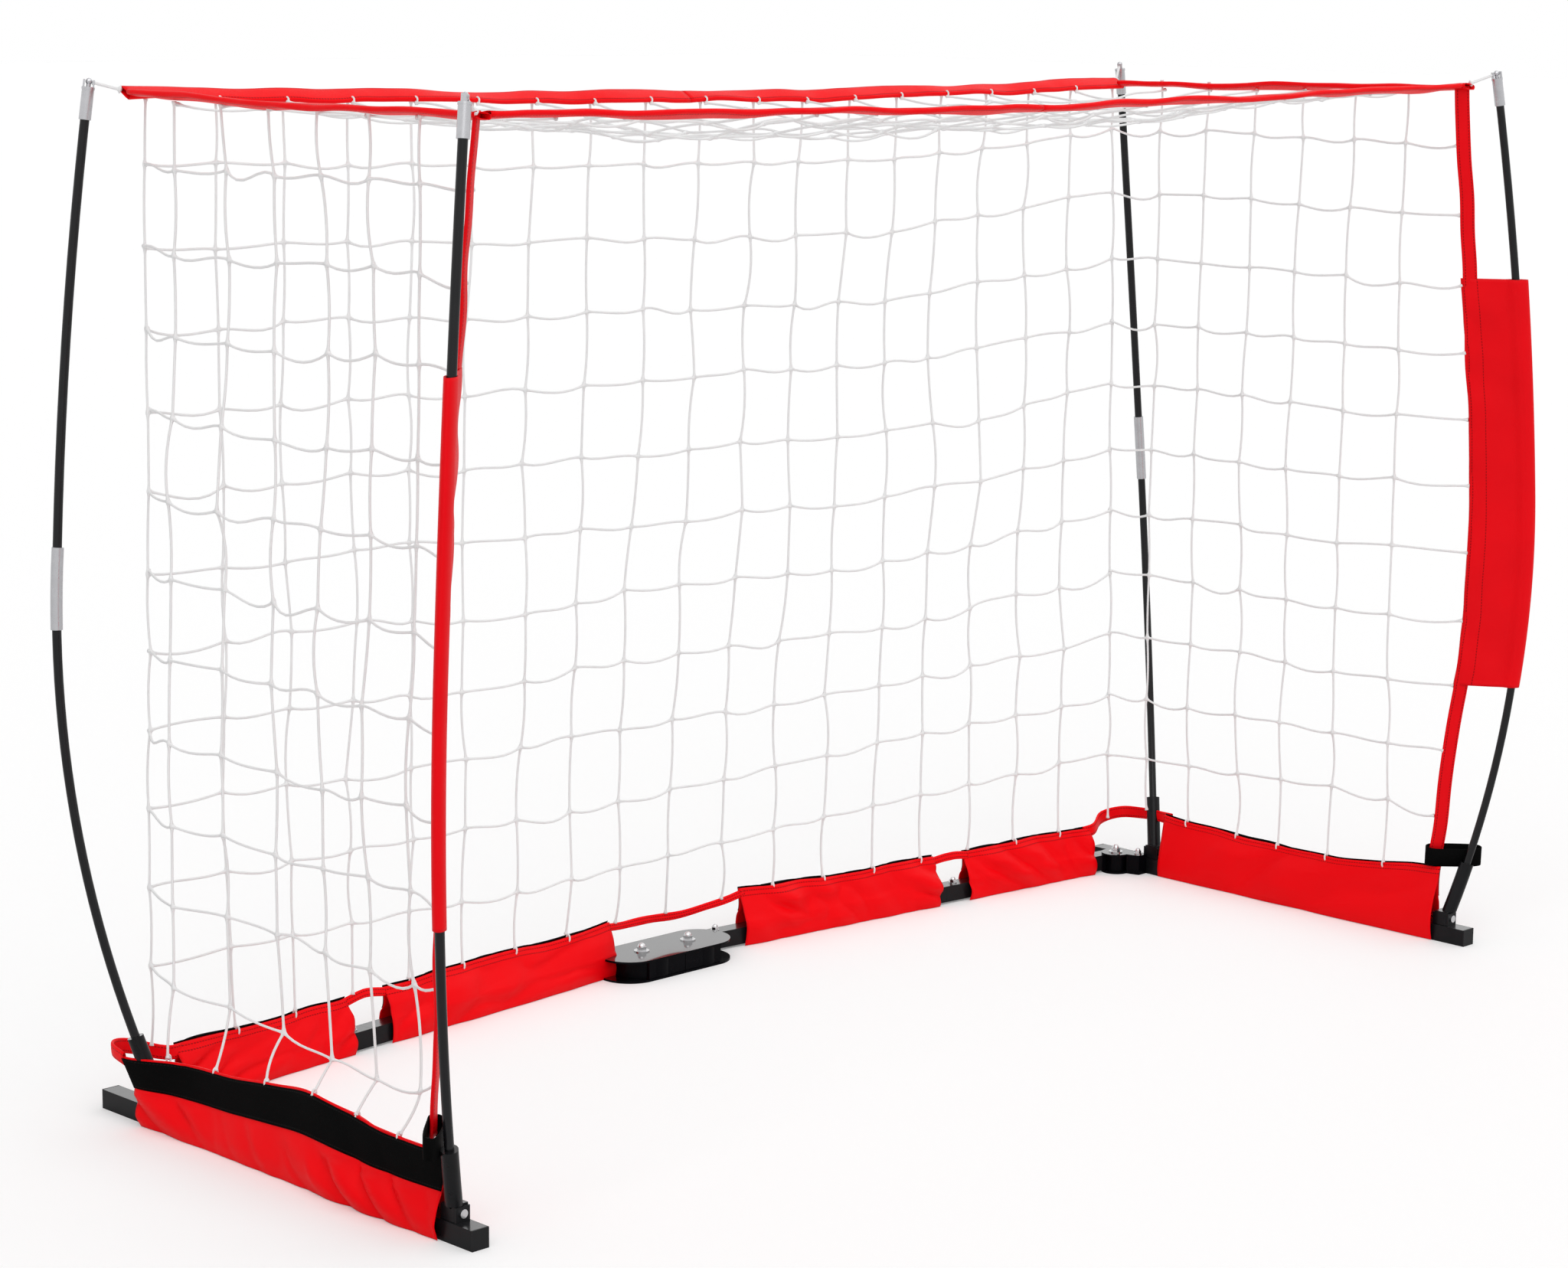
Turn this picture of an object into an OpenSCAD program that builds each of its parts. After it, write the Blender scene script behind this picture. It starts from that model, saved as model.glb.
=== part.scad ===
// Folding bow-pole football goal: a hinged steel base, four bent poles and a net.

/* [Base] */
// Distance between the centre lines of the two side tubes
side_spacing = 1856; // [1500:2:2400]
// Length of a side tube
side_len = 694; // [640:2:900]
// Outer width and height of every base tube
tube = 24; // [20:1:30]
// Wall of the base tubes
tube_wall = 2; // [1.5:0.5:3]
// How far each end plug's face stands out of its tube
cap_face = 2; // [1:0.5:4]

/* [Rear bar] */
// Distance from the front of the side tubes to the centre hinge's pivots
hinge_y = 700; // [660:2:760]
// Angle that each half of the rear bar sweeps forward from square
rear_sweep = 5.4; // [0:0.2:8]
// Distance from the centre of the goal to each tube splice
splice_x = 545; // [450:5:650]
// Length of the swaged spigot inside a splice
spigot_len = 70; // [50:5:100]

/* [Hinges] */
// Distance between the two pivots of the centre hinge
pivot_gap = 88; // [88:1:110]
// Distance from a centre pivot back to the rear tube's centre line
pivot_back = 27; // [26:0.5:28]
// Distance from a corner pivot to the side tube's centre line
corner_in = 36; // [34:1:44]
// Distance from a corner pivot back to the rear tube's centre line
corner_back = 17; // [15:1:22]
// Thickness of the hinge plates
plate_t = 3; // [2:0.5:4]
// Half length of a centre hinge plate
plate_half = 110; // [104:1:120]
// Radius of a centre hinge plate's round ends
plate_r = 44; // [42:1:46]
// Diameter of the hinge pins
pin_d = 8; // [6:0.5:10]
// Diameter of the small bolts
bolt_d = 6; // [5:0.5:6]

/* [Poles] */
// Diameter of a pole
pole_d = 11; // [9:0.5:12]
// Distance from the front of the side tubes to the front receivers
front_foot_y = 41; // [36:1:60]
// Distance from the front of the side tubes to the rear receivers
rear_foot_y = 582; // [540:2:590]
// Length of a pole's chord, from the side tube to its tip
pole_h = 1211; // [1000:1:1500]
// Largest distance of a pole from its chord
pole_bow = 86; // [60:1:100]
// Height along the chord at which the pole is farthest out
bow_h = 500; // [480:5:580]
// Angle of the bow from the goal's width direction
bow_turn = 36; // [25:1:45]
// How far a front pole's tip stands forward of its foot
front_rake = 26; // [0:1:60]
// How far a rear pole's tip stands behind its foot
rear_rake = 112; // [80:1:130]
// Depth that a pole goes into its receiver
receiver_len = 74; // [60:2:76]
// Wall of a receiver
receiver_wall = 4.5; // [3:0.5:6]
// Length of the ferrule that joins two pole sections
ferrule_len = 97; // [80:1:120]
// Height of the ferrule's middle along the pole
ferrule_h = 632; // [560:1:680]
// Length of a tip cap's sleeve
cap_len = 36; // [28:1:50]
// Wall of the ferrules and tip caps
sleeve_wall = 1.6; // [1:0.1:2.5]

/* [Net] */
// Half width of the net at the top
net_x = 889; // [700:1:1100]
// Distance from the front of the side tubes to the net's front edge
net_front = 46; // [30:1:60]
// Distance from the front of the side tubes to the net's rear edge
net_rear = 668; // [640:1:690]
// Height of the poles' chord ends above the net's top edge
tip_rise = 11; // [6:1:40]
// How far the roof net hangs in its middle
roof_sag = 32; // [0:1:60]
// Width of a net cord
cord_w = 4; // [2:0.5:5]
// Thickness of a net cord
cord_t = 3; // [2:0.5:4]

/* [Fabric] */
// Width of the bands round the top of the net
band_w = 24; // [16:1:32]
// Thickness of those bands
band_t = 8; // [5:1:12]
// Height of the side skirts
side_skirt_h = 105; // [80:1:130]
// Height of the rear skirts
rear_skirt_h = 72; // [60:1:110]
// Thickness of a skirt beside its tube
skirt_t = 3.5; // [2:0.5:3.8]
// Thickness of a skirt's upright hem
hem_t = 6; // [4:1:10]
// Height of the pole pocket's lower edge
pocket_low = 388; // [340:1:440]
// Height of the pole pocket's upper edge
pocket_high = 958; // [900:1:1000]
// Width of the pole pocket
pocket_w = 80; // [60:1:90]
// Thickness of the pole pocket round its pole
pocket_t = 17; // [15:0.5:20]
// Width of the front post band
post_w = 26; // [20:1:32]
// Thickness of the front post band
post_t = 5; // [4:0.5:8]
// Height of the closing strap's lower edge
strap_z = 120; // [115:1:150]
// Width of the closing strap
strap_w = 26; // [20:1:32]

/* [Hidden] */

$fn = 48;
// Fragments of a full turn of a pole's bend, so that a bend of a few degrees has many
BEND_FN = 720;
// Share of the pocket's thickness that its full crown reaches each side of the pole
crown = 0.3;
// Share of the pocket's thickness where it reaches its full width
shoulder = 0.65;
// Clearance between faces that move past each other
play = 0.3;
// Clearance round a part that fits inside another
fit = 0.25;
// Radial clearance of a pin in its bore
pin_fit = 0.08;
// A gap left between soft pieces that are sewn together
seam = 0.5;
// Overlap of a cutting solid past the face it cuts
cut = 1;

side_x = side_spacing / 2;
net_top = tube + pole_h - tip_rise;
rear_z = plate_t + play;
plate_z = rear_z + tube + play;
top_z = plate_z + plate_t;
pin_r = pin_d / 2;
bolt_r = bolt_d / 2;
pole_r = pole_d / 2;
pivot_x = pivot_gap / 2;

// The corner pivot, from the side tube and the sweep of the rear bar
corner_x = side_x - corner_in;
half_len = (corner_x - pivot_x + (pivot_back - corner_back) * -sin(rear_sweep)) / cos(rear_sweep);
corner_y = hinge_y + (pivot_back - corner_back) * cos(rear_sweep) - half_len * sin(rear_sweep);

// Where the rear tubes begin and end, along the bar from the centre pivot
tube_start = 30;
tube_end = half_len - tube;
splice_u = (splice_x - pivot_x) / cos(rear_sweep);
plug_len = 50;
plug_w = tube - 2 * tube_wall - 2 * fit;
knuckle_r = pivot_x - play - 0.2;
corner_knuckle_r = 16;
corner_plate_r = 22;
lug_t = 3;
// Where the bolts sit: along the bar from its pivot, and into the splice
knuckle_bolt_u = 70;
splice_bolt_in = 22;
foot_w = 20;
foot_h = 20;
bolt_up = 10;
// How far the centre block reaches past its pivot, and how deep its plug is rooted in it
stop_reach = 24;
plate_edge = 2;
root = 12;
// The corner bracket's block and bolt, from the corner pivot
block_back = 42;
block_in = 6;
block_clear = 14;
bracket_bolt_in = 15;
bracket_bolt_back = 32;

// One half of the goal, drawn on the right and mirrored for the left
module half(s) {
    translate([0, -depth_mid, 0]) {
        if (s > 0) children();
        else mirror([1, 0, 0]) children();
    }
}

// The frame of one rear bar: x along its centre line from the centre pivot
module on_rear_bar() {
    translate([pivot_x, hinge_y, 0]) rotate([0, 0, -rear_sweep]) translate([0, pivot_back, 0]) children();
}

// y of the rear bar's centre line at a distance x from the middle
function bar_y(x) = hinge_y + pivot_back / cos(rear_sweep) - (x - pivot_x) * tan(rear_sweep);

module square_tube(len, w, wall) {
    difference() {
        translate([0, -w / 2, 0]) cube([len, w, w]);
        translate([-cut, -w / 2 + wall, wall]) cube([len + 2 * cut, w - 2 * wall, w - 2 * wall]);
    }
}

// A domed nut on a washer, its washer's face at z = 0
module domed_nut(r, washer_r) {
    nut_h = r * 1.3;
    cylinder(r = washer_r, h = 1.5);
    translate([0, 0, 1.5]) cylinder(r = r * 1.7, h = nut_h, $fn = 6);
    translate([0, 0, 1.5 + nut_h]) intersection() {
        sphere(r = r * 1.35);
        translate([-r * 2, -r * 2, -nut_h / 2]) cube([r * 4, r * 4, r * 4]);
    }
}

// ---------- Centre hinge ----------

module plate_outline() {
    end_x = plate_half - plate_r;
    for (x = [-end_x, end_x]) translate([x, 0]) circle(r = plate_r);
    square([2 * end_x, 2 * plate_r], center = true);
}

module hinge_plate(z) {
    color("dimgray") translate([0, hinge_y - depth_mid, z]) linear_extrude(plate_t) difference() {
        plate_outline();
        for (x = [-pivot_x, pivot_x]) translate([x, 0]) circle(r = pin_r + pin_fit);
    }
}

module hinge_plate_top() { hinge_plate(plate_z); }

module hinge_plate_bottom() { hinge_plate(0); }

// A pin through both plates, with a domed nut on a wide washer
module hinge_pin() {
    translate([0, 0, 0.4]) cylinder(r = pin_r, h = top_z);
    translate([0, 0, top_z]) domed_nut(pin_r, pin_d * 1.35);
}

module hinge_pivots() {
    color("silver") translate([0, hinge_y - depth_mid, 0])
        for (x = [-pivot_x, pivot_x]) translate([x, 0, 0]) hinge_pin();
}

link_half = 13.5;

// The short hem that crosses over the centre hinge
module hem_link() {
    color("red") translate([-link_half, bar_y(0) - hem_t / 2 - depth_mid, rear_skirt_h - bridge_h])
        cube([2 * link_half, hem_t, bridge_h]);
}

// ---------- Rear bar ----------

// The block that turns on a centre pivot: round behind, with a square stop in front
module centre_knuckle(s) {
    h = tube;
    color("#151515") half(s) difference() {
        union() {
            difference() {
                translate([pivot_x, hinge_y, rear_z]) {
                    cylinder(r = knuckle_r, h = h);
                    translate([-knuckle_r, -plate_r + plate_edge, 0])
                        cube([knuckle_r + stop_reach, plate_r - plate_edge, h]);
                }
                on_rear_bar() translate([tube_start - fit, -tube / 2 - fit, rear_z - cut])
                    cube([tube_start + 3 * knuckle_r, tube + 2 * fit, h + 2 * cut]);
            }
            on_rear_bar() translate([tube_start - root, -plug_w / 2, rear_z + tube_wall + fit])
                cube([plug_len + root, plug_w, plug_w]);
        }
        translate([pivot_x, hinge_y, 0]) cylinder(r = pin_r + pin_fit, h = top_z + cut);
        on_rear_bar() translate([knuckle_bolt_u, 0, 0]) cylinder(r = bolt_r + fit, h = top_z + cut);
    }
}

// The inner tube, with a swaged spigot on its outer end
module rear_tube_inner(s) {
    color("#1a1a1a") half(s) difference() {
        on_rear_bar() translate([tube_start, 0, rear_z]) {
            square_tube(splice_u - tube_start, tube, tube_wall);
            translate([splice_u - tube_start - tube_wall, 0, tube_wall + fit])
                square_tube(spigot_len + tube_wall, plug_w, tube_wall);
            translate([splice_u - tube_start - tube_wall, 0, 0]) difference() {
                translate([0, -tube / 2, 0]) cube([tube_wall, tube, tube]);
                translate([-cut, -plug_w / 2 + tube_wall, 2 * tube_wall + fit])
                    cube([tube_wall + 2 * cut, plug_w - 2 * tube_wall, plug_w - 2 * tube_wall]);
            }
        }
        on_rear_bar() for (u = [knuckle_bolt_u, splice_u + splice_bolt_in])
            translate([u, 0, 0]) cylinder(r = bolt_r + fit, h = top_z + cut);
    }
}

module rear_tube_outer(s) {
    color("#1a1a1a") half(s) difference() {
        on_rear_bar() translate([splice_u + fit, 0, rear_z])
            square_tube(tube_end - splice_u - fit, tube, tube_wall);
        on_rear_bar() for (u = [splice_u + splice_bolt_in, tube_end - plug_len / 2])
            translate([u, 0, 0]) cylinder(r = bolt_r + fit, h = top_z + cut);
    }
}

// A bolt down through a rear tube, its domed nut on top and its flat head below
module tube_bolt() {
    translate([0, 0, rear_z - 2]) cylinder(r = bolt_r * 1.7, h = 2);
    translate([0, 0, rear_z - 1]) cylinder(r = bolt_r, h = tube + 2);
    translate([0, 0, rear_z + tube]) domed_nut(bolt_r, bolt_r * 2);
}

module rear_bolts(s) {
    color("silver") half(s) on_rear_bar()
        for (u = [knuckle_bolt_u, splice_u + splice_bolt_in, tube_end - plug_len / 2])
            translate([u, 0, 0]) tube_bolt();
}

// The block that turns on a corner pivot, with a square plug in the outer tube
module corner_knuckle(s) {
    color("#151515") half(s) difference() {
        union() {
            translate([0, 0, rear_z]) linear_extrude(tube) difference() {
                union() {
                    translate([corner_x, corner_y]) circle(r = corner_knuckle_r);
                    translate([pivot_x, hinge_y]) rotate(-rear_sweep)
                        translate([tube_end + fit, pivot_back - tube / 2])
                        square([half_len - tube_end - fit, tube]);
                }
                translate([corner_x, corner_y]) circle(r = pin_r + pin_fit);
            }
            on_rear_bar() translate([tube_end - plug_len, -plug_w / 2, rear_z + tube_wall + fit])
                cube([plug_len + 8, plug_w, plug_w]);
        }
        on_rear_bar() translate([tube_end - plug_len / 2, 0, 0]) cylinder(r = bolt_r + fit, h = top_z + cut);
    }
}

// ---------- Side frames ----------

// The two ears that hold a receiver's foot on a side tube
module lug(y) {
    for (d = [-1, 1]) translate([side_x - foot_w / 2, y + d * (foot_w / 2 + play + lug_t / 2) - lug_t / 2,
            tube - cut])
        difference() {
            cube([foot_w, lug_t, foot_h - 2 + cut]);
            translate([foot_w / 2, -cut, bolt_up + cut]) rotate([-90, 0, 0])
                cylinder(r = bolt_r + pin_fit, h = lug_t + 2 * cut);
        }
}

module side_tube(s) {
    color("#1a1a1a") half(s) {
        translate([side_x, 0, 0]) rotate([0, 0, 90]) square_tube(side_len, tube, tube_wall);
        lug(front_foot_y);
        lug(rear_foot_y);
    }
}

// A square plug in each end of the side tube
module end_plugs(s) {
    stem = 20;
    color("#202020") half(s) for (y = [0, side_len]) {
        out = y > 0 ? 1 : -1;
        translate([side_x - tube / 2, out > 0 ? y : y - cap_face, 0]) cube([tube, cap_face, tube]);
        translate([side_x - plug_w / 2, y + (out > 0 ? -stem : -cut), tube_wall + fit])
            cube([plug_w, stem + cut, plug_w]);
    }
}

// The bracket welded to the side tube: two plates joined by a block
module corner_bracket(s) {
    side_face = side_x - tube / 2;
    block_y = corner_y - block_back;
    module web() {
        polygon([[corner_x, corner_y - corner_plate_r], [corner_x + block_in, block_y], [side_face, block_y],
            [side_face, corner_y + corner_plate_r], [corner_x, corner_y + corner_plate_r]]);
    }
    color("#151515") half(s) difference() {
        union() {
            for (z = [0, plate_z]) translate([0, 0, z]) linear_extrude(plate_t) {
                translate([corner_x, corner_y]) circle(r = corner_plate_r);
                web();
            }
            linear_extrude(top_z) difference() {
                web();
                translate([corner_x, corner_y]) circle(r = corner_knuckle_r + play);
                translate([corner_x - tube, corner_y - corner_plate_r])
                    square([tube + block_clear, 2 * corner_plate_r + cut]);
            }
        }
        translate([corner_x, corner_y, -cut]) cylinder(r = pin_r + pin_fit, h = top_z + 2 * cut);
        translate([bracket_bolt.x, bracket_bolt.y, -cut]) cylinder(r = bolt_r + fit, h = top_z + 2 * cut);
    }
}

bracket_bolt = [corner_x + bracket_bolt_in, corner_y - bracket_bolt_back];

module corner_pivot(s) {
    color("silver") half(s) translate([corner_x, corner_y, 0]) hinge_pin();
}

// The bracket's bolt and the two cross bolts of the receivers
module side_bolts(s) {
    cross = foot_w + 2 * (play + lug_t);
    color("silver") half(s) {
        translate([bracket_bolt.x, bracket_bolt.y, 0]) {
            translate([0, 0, 0.4]) cylinder(r = bolt_r, h = top_z);
            translate([0, 0, top_z]) domed_nut(bolt_r, bolt_r * 2);
        }
        for (c = [[front_foot_y, 1], [rear_foot_y, -1]])
            translate([side_x, c[0] - c[1] * cross / 2, tube + bolt_up]) rotate([-90 * c[1], 0, 0]) {
                translate([0, 0, -2.4]) cylinder(r = bolt_r * 1.7, h = 2.4);
                translate([0, 0, -1]) cylinder(r = bolt_r, h = cross + 2);
                translate([0, 0, cross]) domed_nut(bolt_r, bolt_r * 1.8);
            }
    }
}

// ---------- Poles ----------

// A pole is two arcs that meet in line inside its ferrule, x out from its chord and h along it.
// The lower arc is farthest out at bow_h, and the upper one ends on the chord at pole_h.
low_r = (bow_h * bow_h + pole_bow * pole_bow) / (2 * pole_bow);
low_c = [pole_bow - low_r, bow_h];
join_a = asin((ferrule_h - bow_h) / low_r);
join_at = low_c + low_r * [cos(join_a), sin(join_a)];
high_turn = 2 * (atan(join_at.x / (pole_h - ferrule_h)) - join_a);
high_r = norm([join_at.x, pole_h - ferrule_h]) / (2 * sin(high_turn / 2));
high_c = join_at - high_r * [cos(join_a), sin(join_a)];
tip_lean = join_a + high_turn;

// The frame of a pole: z along its chord, x towards its bow
module on_pole(y, rake) {
    translate([side_x, y, tube]) rotate([-atan(rake / pole_h), 0, 0])
        rotate([0, 0, rake < 0 ? -bow_turn : bow_turn]) children();
}

// How far out a pole is at a height along its chord
function out_at(h) = h < ferrule_h
    ? low_c.x + sqrt(low_r * low_r - (h - low_c.y) * (h - low_c.y))
    : high_c.x + sqrt(high_r * high_r - (h - high_c.y) * (h - high_c.y));

// Sweep a 2D section, drawn about the pole's centre, along the arc about c from h0 to h1
module bent(c, r, h0, h1) {
    a0 = asin((h0 - c.y) / r);
    a1 = asin((h1 - c.y) / r);
    translate([c.x, 0, c.y]) rotate([90, 0, 0]) rotate([0, 0, a0])
        rotate_extrude(angle = a1 - a0, $fn = BEND_FN) translate([r, 0]) children();
}

module low_rod(h0, h1, r) { bent(low_c, low_r, h0, h1) circle(r = r, $fn = 24); }

module high_rod(h0, h1, r) { bent(high_c, high_r, h0, h1) circle(r = r, $fn = 24); }

// Both poles of one side, each with its own foot and rake
module each_pole(s) {
    half(s) {
        on_pole(front_foot_y, -front_rake) children();
        on_pole(rear_foot_y, rear_rake) children();
    }
}

// The foremost line of the pockets and the middle of the whole depth, from the tubes' front
front_most = min([for (h = [bow_h:10:pole_h])
    front_foot_y - front_rake * h / pole_h - sin(bow_turn) * out_at(h)])
    - sin(bow_turn) * crown * pocket_t - cos(bow_turn) * pocket_t / 2;
depth_mid = (front_most + hinge_y + plate_r) / 2;

receiver_low = 16;
// Thickness of the stop in the middle of a ferrule
stop_t = 2;
// The foot of a pole inside its receiver
pole_low = receiver_low + 6;
cap_low = pole_h - cap_len;

// A receiver: a leaning tube on a foot that a cross bolt holds between two ears
module receiver(y, rake) {
    difference() {
        union() {
            translate([side_x - foot_w / 2, y - foot_w / 2, tube + play]) cube([foot_w, foot_w, foot_h]);
            intersection() {
                on_pole(y, rake) low_rod(play, receiver_low + receiver_len, pole_r + receiver_wall);
                translate([side_x - 4 * foot_w, y - 4 * foot_w, tube + foot_h - cut]) cube(8 * foot_w);
            }
        }
        on_pole(y, rake) low_rod(receiver_low, receiver_low + receiver_len + cut, pole_r + pin_fit);
        translate([side_x, y - foot_w, tube + bolt_up]) rotate([-90, 0, 0])
            cylinder(r = bolt_r + pin_fit, h = 2 * foot_w);
    }
}

module receivers(s) {
    color("#202020") half(s) {
        receiver(front_foot_y, -front_rake);
        receiver(rear_foot_y, rear_rake);
    }
}

module pole_lower() { low_rod(pole_low, ferrule_h - stop_t / 2 - play, pole_r); }

module pole_upper() { high_rod(ferrule_h + stop_t / 2 + play, pole_h - 4, pole_r); }

module front_pole_lower(s) { color("#111111") half(s) on_pole(front_foot_y, -front_rake) pole_lower(); }

module front_pole_upper(s) { color("#111111") half(s) on_pole(front_foot_y, -front_rake) pole_upper(); }

module rear_pole_lower(s) { color("#111111") half(s) on_pole(rear_foot_y, rear_rake) pole_lower(); }

module rear_pole_upper(s) { color("#111111") half(s) on_pole(rear_foot_y, rear_rake) pole_upper(); }

// A ferrule, with a stop in its middle between the ends of the two sections
module ferrules(s) {
    low = ferrule_h - ferrule_len / 2;
    high = ferrule_h + ferrule_len / 2;
    color("silver") each_pole(s) difference() {
        bent(low_c, low_r, low, high) circle(r = pole_r + pin_fit + sleeve_wall, $fn = 32);
        bent(low_c, low_r, low - cut, ferrule_h - stop_t / 2) circle(r = pole_r + pin_fit, $fn = 32);
        bent(high_c, high_r, ferrule_h + stop_t / 2, high + cut) circle(r = pole_r + pin_fit, $fn = 32);
    }
}

knob_r = 4;
ear_w = 2;
rim = 0.5;
rim_h = 3;

// A tip cap: a sleeve on the pole's end with a knob between two ears
module tip_caps(s) {
    cap_r = pole_r + pin_fit + sleeve_wall;
    color("silver") each_pole(s) {
        bent(high_c, high_r, cap_low, pole_h) difference() {
            circle(r = cap_r, $fn = 32);
            circle(r = pole_r + pin_fit, $fn = 32);
        }
        translate([0, 0, pole_h]) rotate([0, -tip_lean, 0]) {
            translate([0, 0, -rim_h / 2]) cylinder(r = cap_r + rim, h = rim_h);
            translate([0, 0, 1]) cylinder(r = knob_r - 1.4, h = 5);
            translate([0, 0, 8]) sphere(r = knob_r);
            for (a = [0, 180]) rotate([0, 0, a]) translate([cap_r - ear_w - rim, -3, 1]) cube([ear_w, 6, 9]);
        }
    }
}

// ---------- Net ----------

// Steps of a net's cords along a length: both edges of every cord
function cord_edges(len, n) = [for (i = [0:n]) let (c = cord_w / 2 + i * (len - cord_w) / n)
    each [c - cord_w / 2, c + cord_w / 2]];

// A net of nu by nv openings on the patch with corners p00, p10, p01 and p11,
// closed all round, its cords standing cord_t thick along the direction n.
// It hangs by sag in the middle of its first edge in u, and not at its other edges.
module net(p00, p10, p01, p11, nu, nv, n, sag = 0) {
    lu = norm(p10 - p00);
    lv = norm(p01 - p00);
    us = cord_edges(lu, nu) / lu;
    vs = cord_edges(lv, nv) / lv;
    cu = len(us);
    cv = len(vs);
    function at(u, v) = (p00 * (1 - u) + p10 * u) * (1 - v) + (p01 * (1 - u) + p11 * u) * v
        - [0, 0, sag * sin(180 * v) * (1 - pow(u, sag_full))];
    function id(side, i, j) = (side * cv + j) * cu + i;
    function solid(i, j) = i >= 0 && j >= 0 && i < cu - 1 && j < cv - 1 && !(i % 2 == 1 && j % 2 == 1);
    points = [for (side = [0, 1], j = [0:cv - 1], i = [0:cu - 1])
        at(us[i], vs[j]) + n * cord_t * (side - 0.5)];
    function quad(a, b, c, d) = [[a, b, c], [a, c, d]];
    faces = [for (j = [0:cv - 2], i = [0:cu - 2]) if (solid(i, j)) each [
        each quad(id(0, i, j), id(0, i + 1, j), id(0, i + 1, j + 1), id(0, i, j + 1)),
        each quad(id(1, i, j + 1), id(1, i + 1, j + 1), id(1, i + 1, j), id(1, i, j)),
        if (!solid(i - 1, j)) each quad(id(0, i, j), id(0, i, j + 1), id(1, i, j + 1), id(1, i, j)),
        if (!solid(i + 1, j))
            each quad(id(0, i + 1, j + 1), id(0, i + 1, j), id(1, i + 1, j), id(1, i + 1, j + 1)),
        if (!solid(i, j - 1)) each quad(id(0, i + 1, j), id(0, i, j), id(1, i, j), id(1, i + 1, j)),
        if (!solid(i, j + 1))
            each quad(id(0, i, j + 1), id(0, i + 1, j + 1), id(1, i + 1, j + 1), id(1, i, j + 1))]];
    polyhedron(points, faces);
}

net_high = net_top - band_t / 2 - seam;
band_in = net_x - band_w / 2;
// The net's lower front and rear corners on the side skirt
skirt_front = 66;
skirt_rear = 556;
wide_count = 7;
tall_count = 9;
deep_count = 5;
// The higher this power, the nearer to its sides the roof keeps its full sag
sag_full = 5;
// How far the back net's foot stays from the corner pivot
net_off_corner = 30;

module back_net(s) {
    x0 = seam;
    x1 = corner_x - net_off_corner;
    z0 = rear_skirt_h + seam;
    color("white") half(s) net([x0, bar_y(x0), z0], [x1, bar_y(x1), z0],
        [x0, net_rear, net_high], [band_in, net_rear, net_high], wide_count, tall_count, [0, 1, 0]);
}

module side_net(s) {
    z0 = side_skirt_h + seam;
    color("white") half(s) net([side_x, skirt_front + 2, z0], [side_x, skirt_rear - 2, z0],
        [net_x, net_front + band_w / 2, net_high], [net_x, net_rear - band_w / 2 - seam, net_high],
        deep_count, tall_count, [-1, 0, 0]);
}

module roof_net(s) {
    y0 = net_front + band_w / 2 + seam;
    y1 = net_rear - band_w / 2 - seam;
    color("white") half(s) net([seam, y0, net_top], [band_in - seam, y0, net_top],
        [seam, y1, net_top], [band_in - seam, y1, net_top], wide_count, deep_count, [0, 0, -1], roof_sag);
}

// ---------- Fabric ----------

module front_band(s) {
    color("red") half(s) translate([seam, net_front - band_w / 2, net_top - band_t / 2])
        cube([band_in - 2 * seam, band_w, band_t]);
}

module rear_band(s) {
    color("red") half(s) translate([seam, net_rear - band_w / 2, net_top - band_t / 2])
        cube([net_x + band_w / 2 - seam, band_w, band_t]);
}

module side_band(s) {
    color("red") half(s) translate([band_in, net_front - band_w / 2, net_top - band_t / 2])
        cube([band_w, net_rear - net_front - seam, band_t]);
}

// Section of a skirt: open below round its tube, narrowing to an upright hem
module skirt_section(z, height) {
    w = tube / 2 + skirt_t;
    difference() {
        polygon([[-w, 0], [-w, z + tube + 4], [-hem_t / 2, z + tube + 22], [-hem_t / 2, height],
            [hem_t / 2, height], [hem_t / 2, z + tube + 22], [w, z + tube + 4], [w, 0]]);
        translate([-tube / 2 - fit, -cut]) square([tube + 2 * fit, z + tube + fit + cut]);
    }
}

module side_skirt(s) {
    color("red") half(s) translate([side_x, skirt_rear, 0]) rotate([90, 0, 0])
        linear_extrude(skirt_rear - skirt_front) skirt_section(0, side_skirt_h);
}

bridge_h = 14;
// The stretches of the rear bar that a skirt covers, measured from the middle
inner_from = 165;
inner_to = 552;
outer_from = 625;
outer_to = 838;
skirt_spans = [[inner_from, inner_to], [outer_from, outer_to]];

// The rear skirt: two sleeves joined over the openings by a narrow hem
module rear_skirt(s) {
    to_u = 1 / cos(rear_sweep);
    u0 = (link_half + seam - pivot_x) * to_u;
    u1 = (skirt_spans[1][1] - pivot_x) * to_u;
    color("red") half(s) on_rear_bar() {
        for (span = skirt_spans) {
            a = (span[0] - pivot_x) * to_u;
            b = (span[1] - pivot_x) * to_u;
            difference() {
                translate([a, 0, 0]) rotate([90, 0, 90]) linear_extrude(b - a)
                    skirt_section(rear_z, rear_skirt_h);
                for (u = [splice_u + splice_bolt_in, tube_end - plug_len / 2])
                    translate([u, 0, rear_z + tube - cut]) cylinder(r = bolt_r * 2 + play, h = 16);
            }
        }
        translate([u0, -hem_t / 2, rear_skirt_h - bridge_h]) cube([u1 - u0, hem_t, bridge_h]);
    }
}

// The front post and the strap are drawn in the bow's own plane, x from the pole's chord
strap_mid = strap_z + strap_w / 2 - tube;
strap_out = 28;
strap_t = 2;
strap_half = 11;
post_top_x = -63;
post_foot_x = -41;
post_foot_h = strap_z - tube - 4;
pocket_steps = 8;

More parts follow.
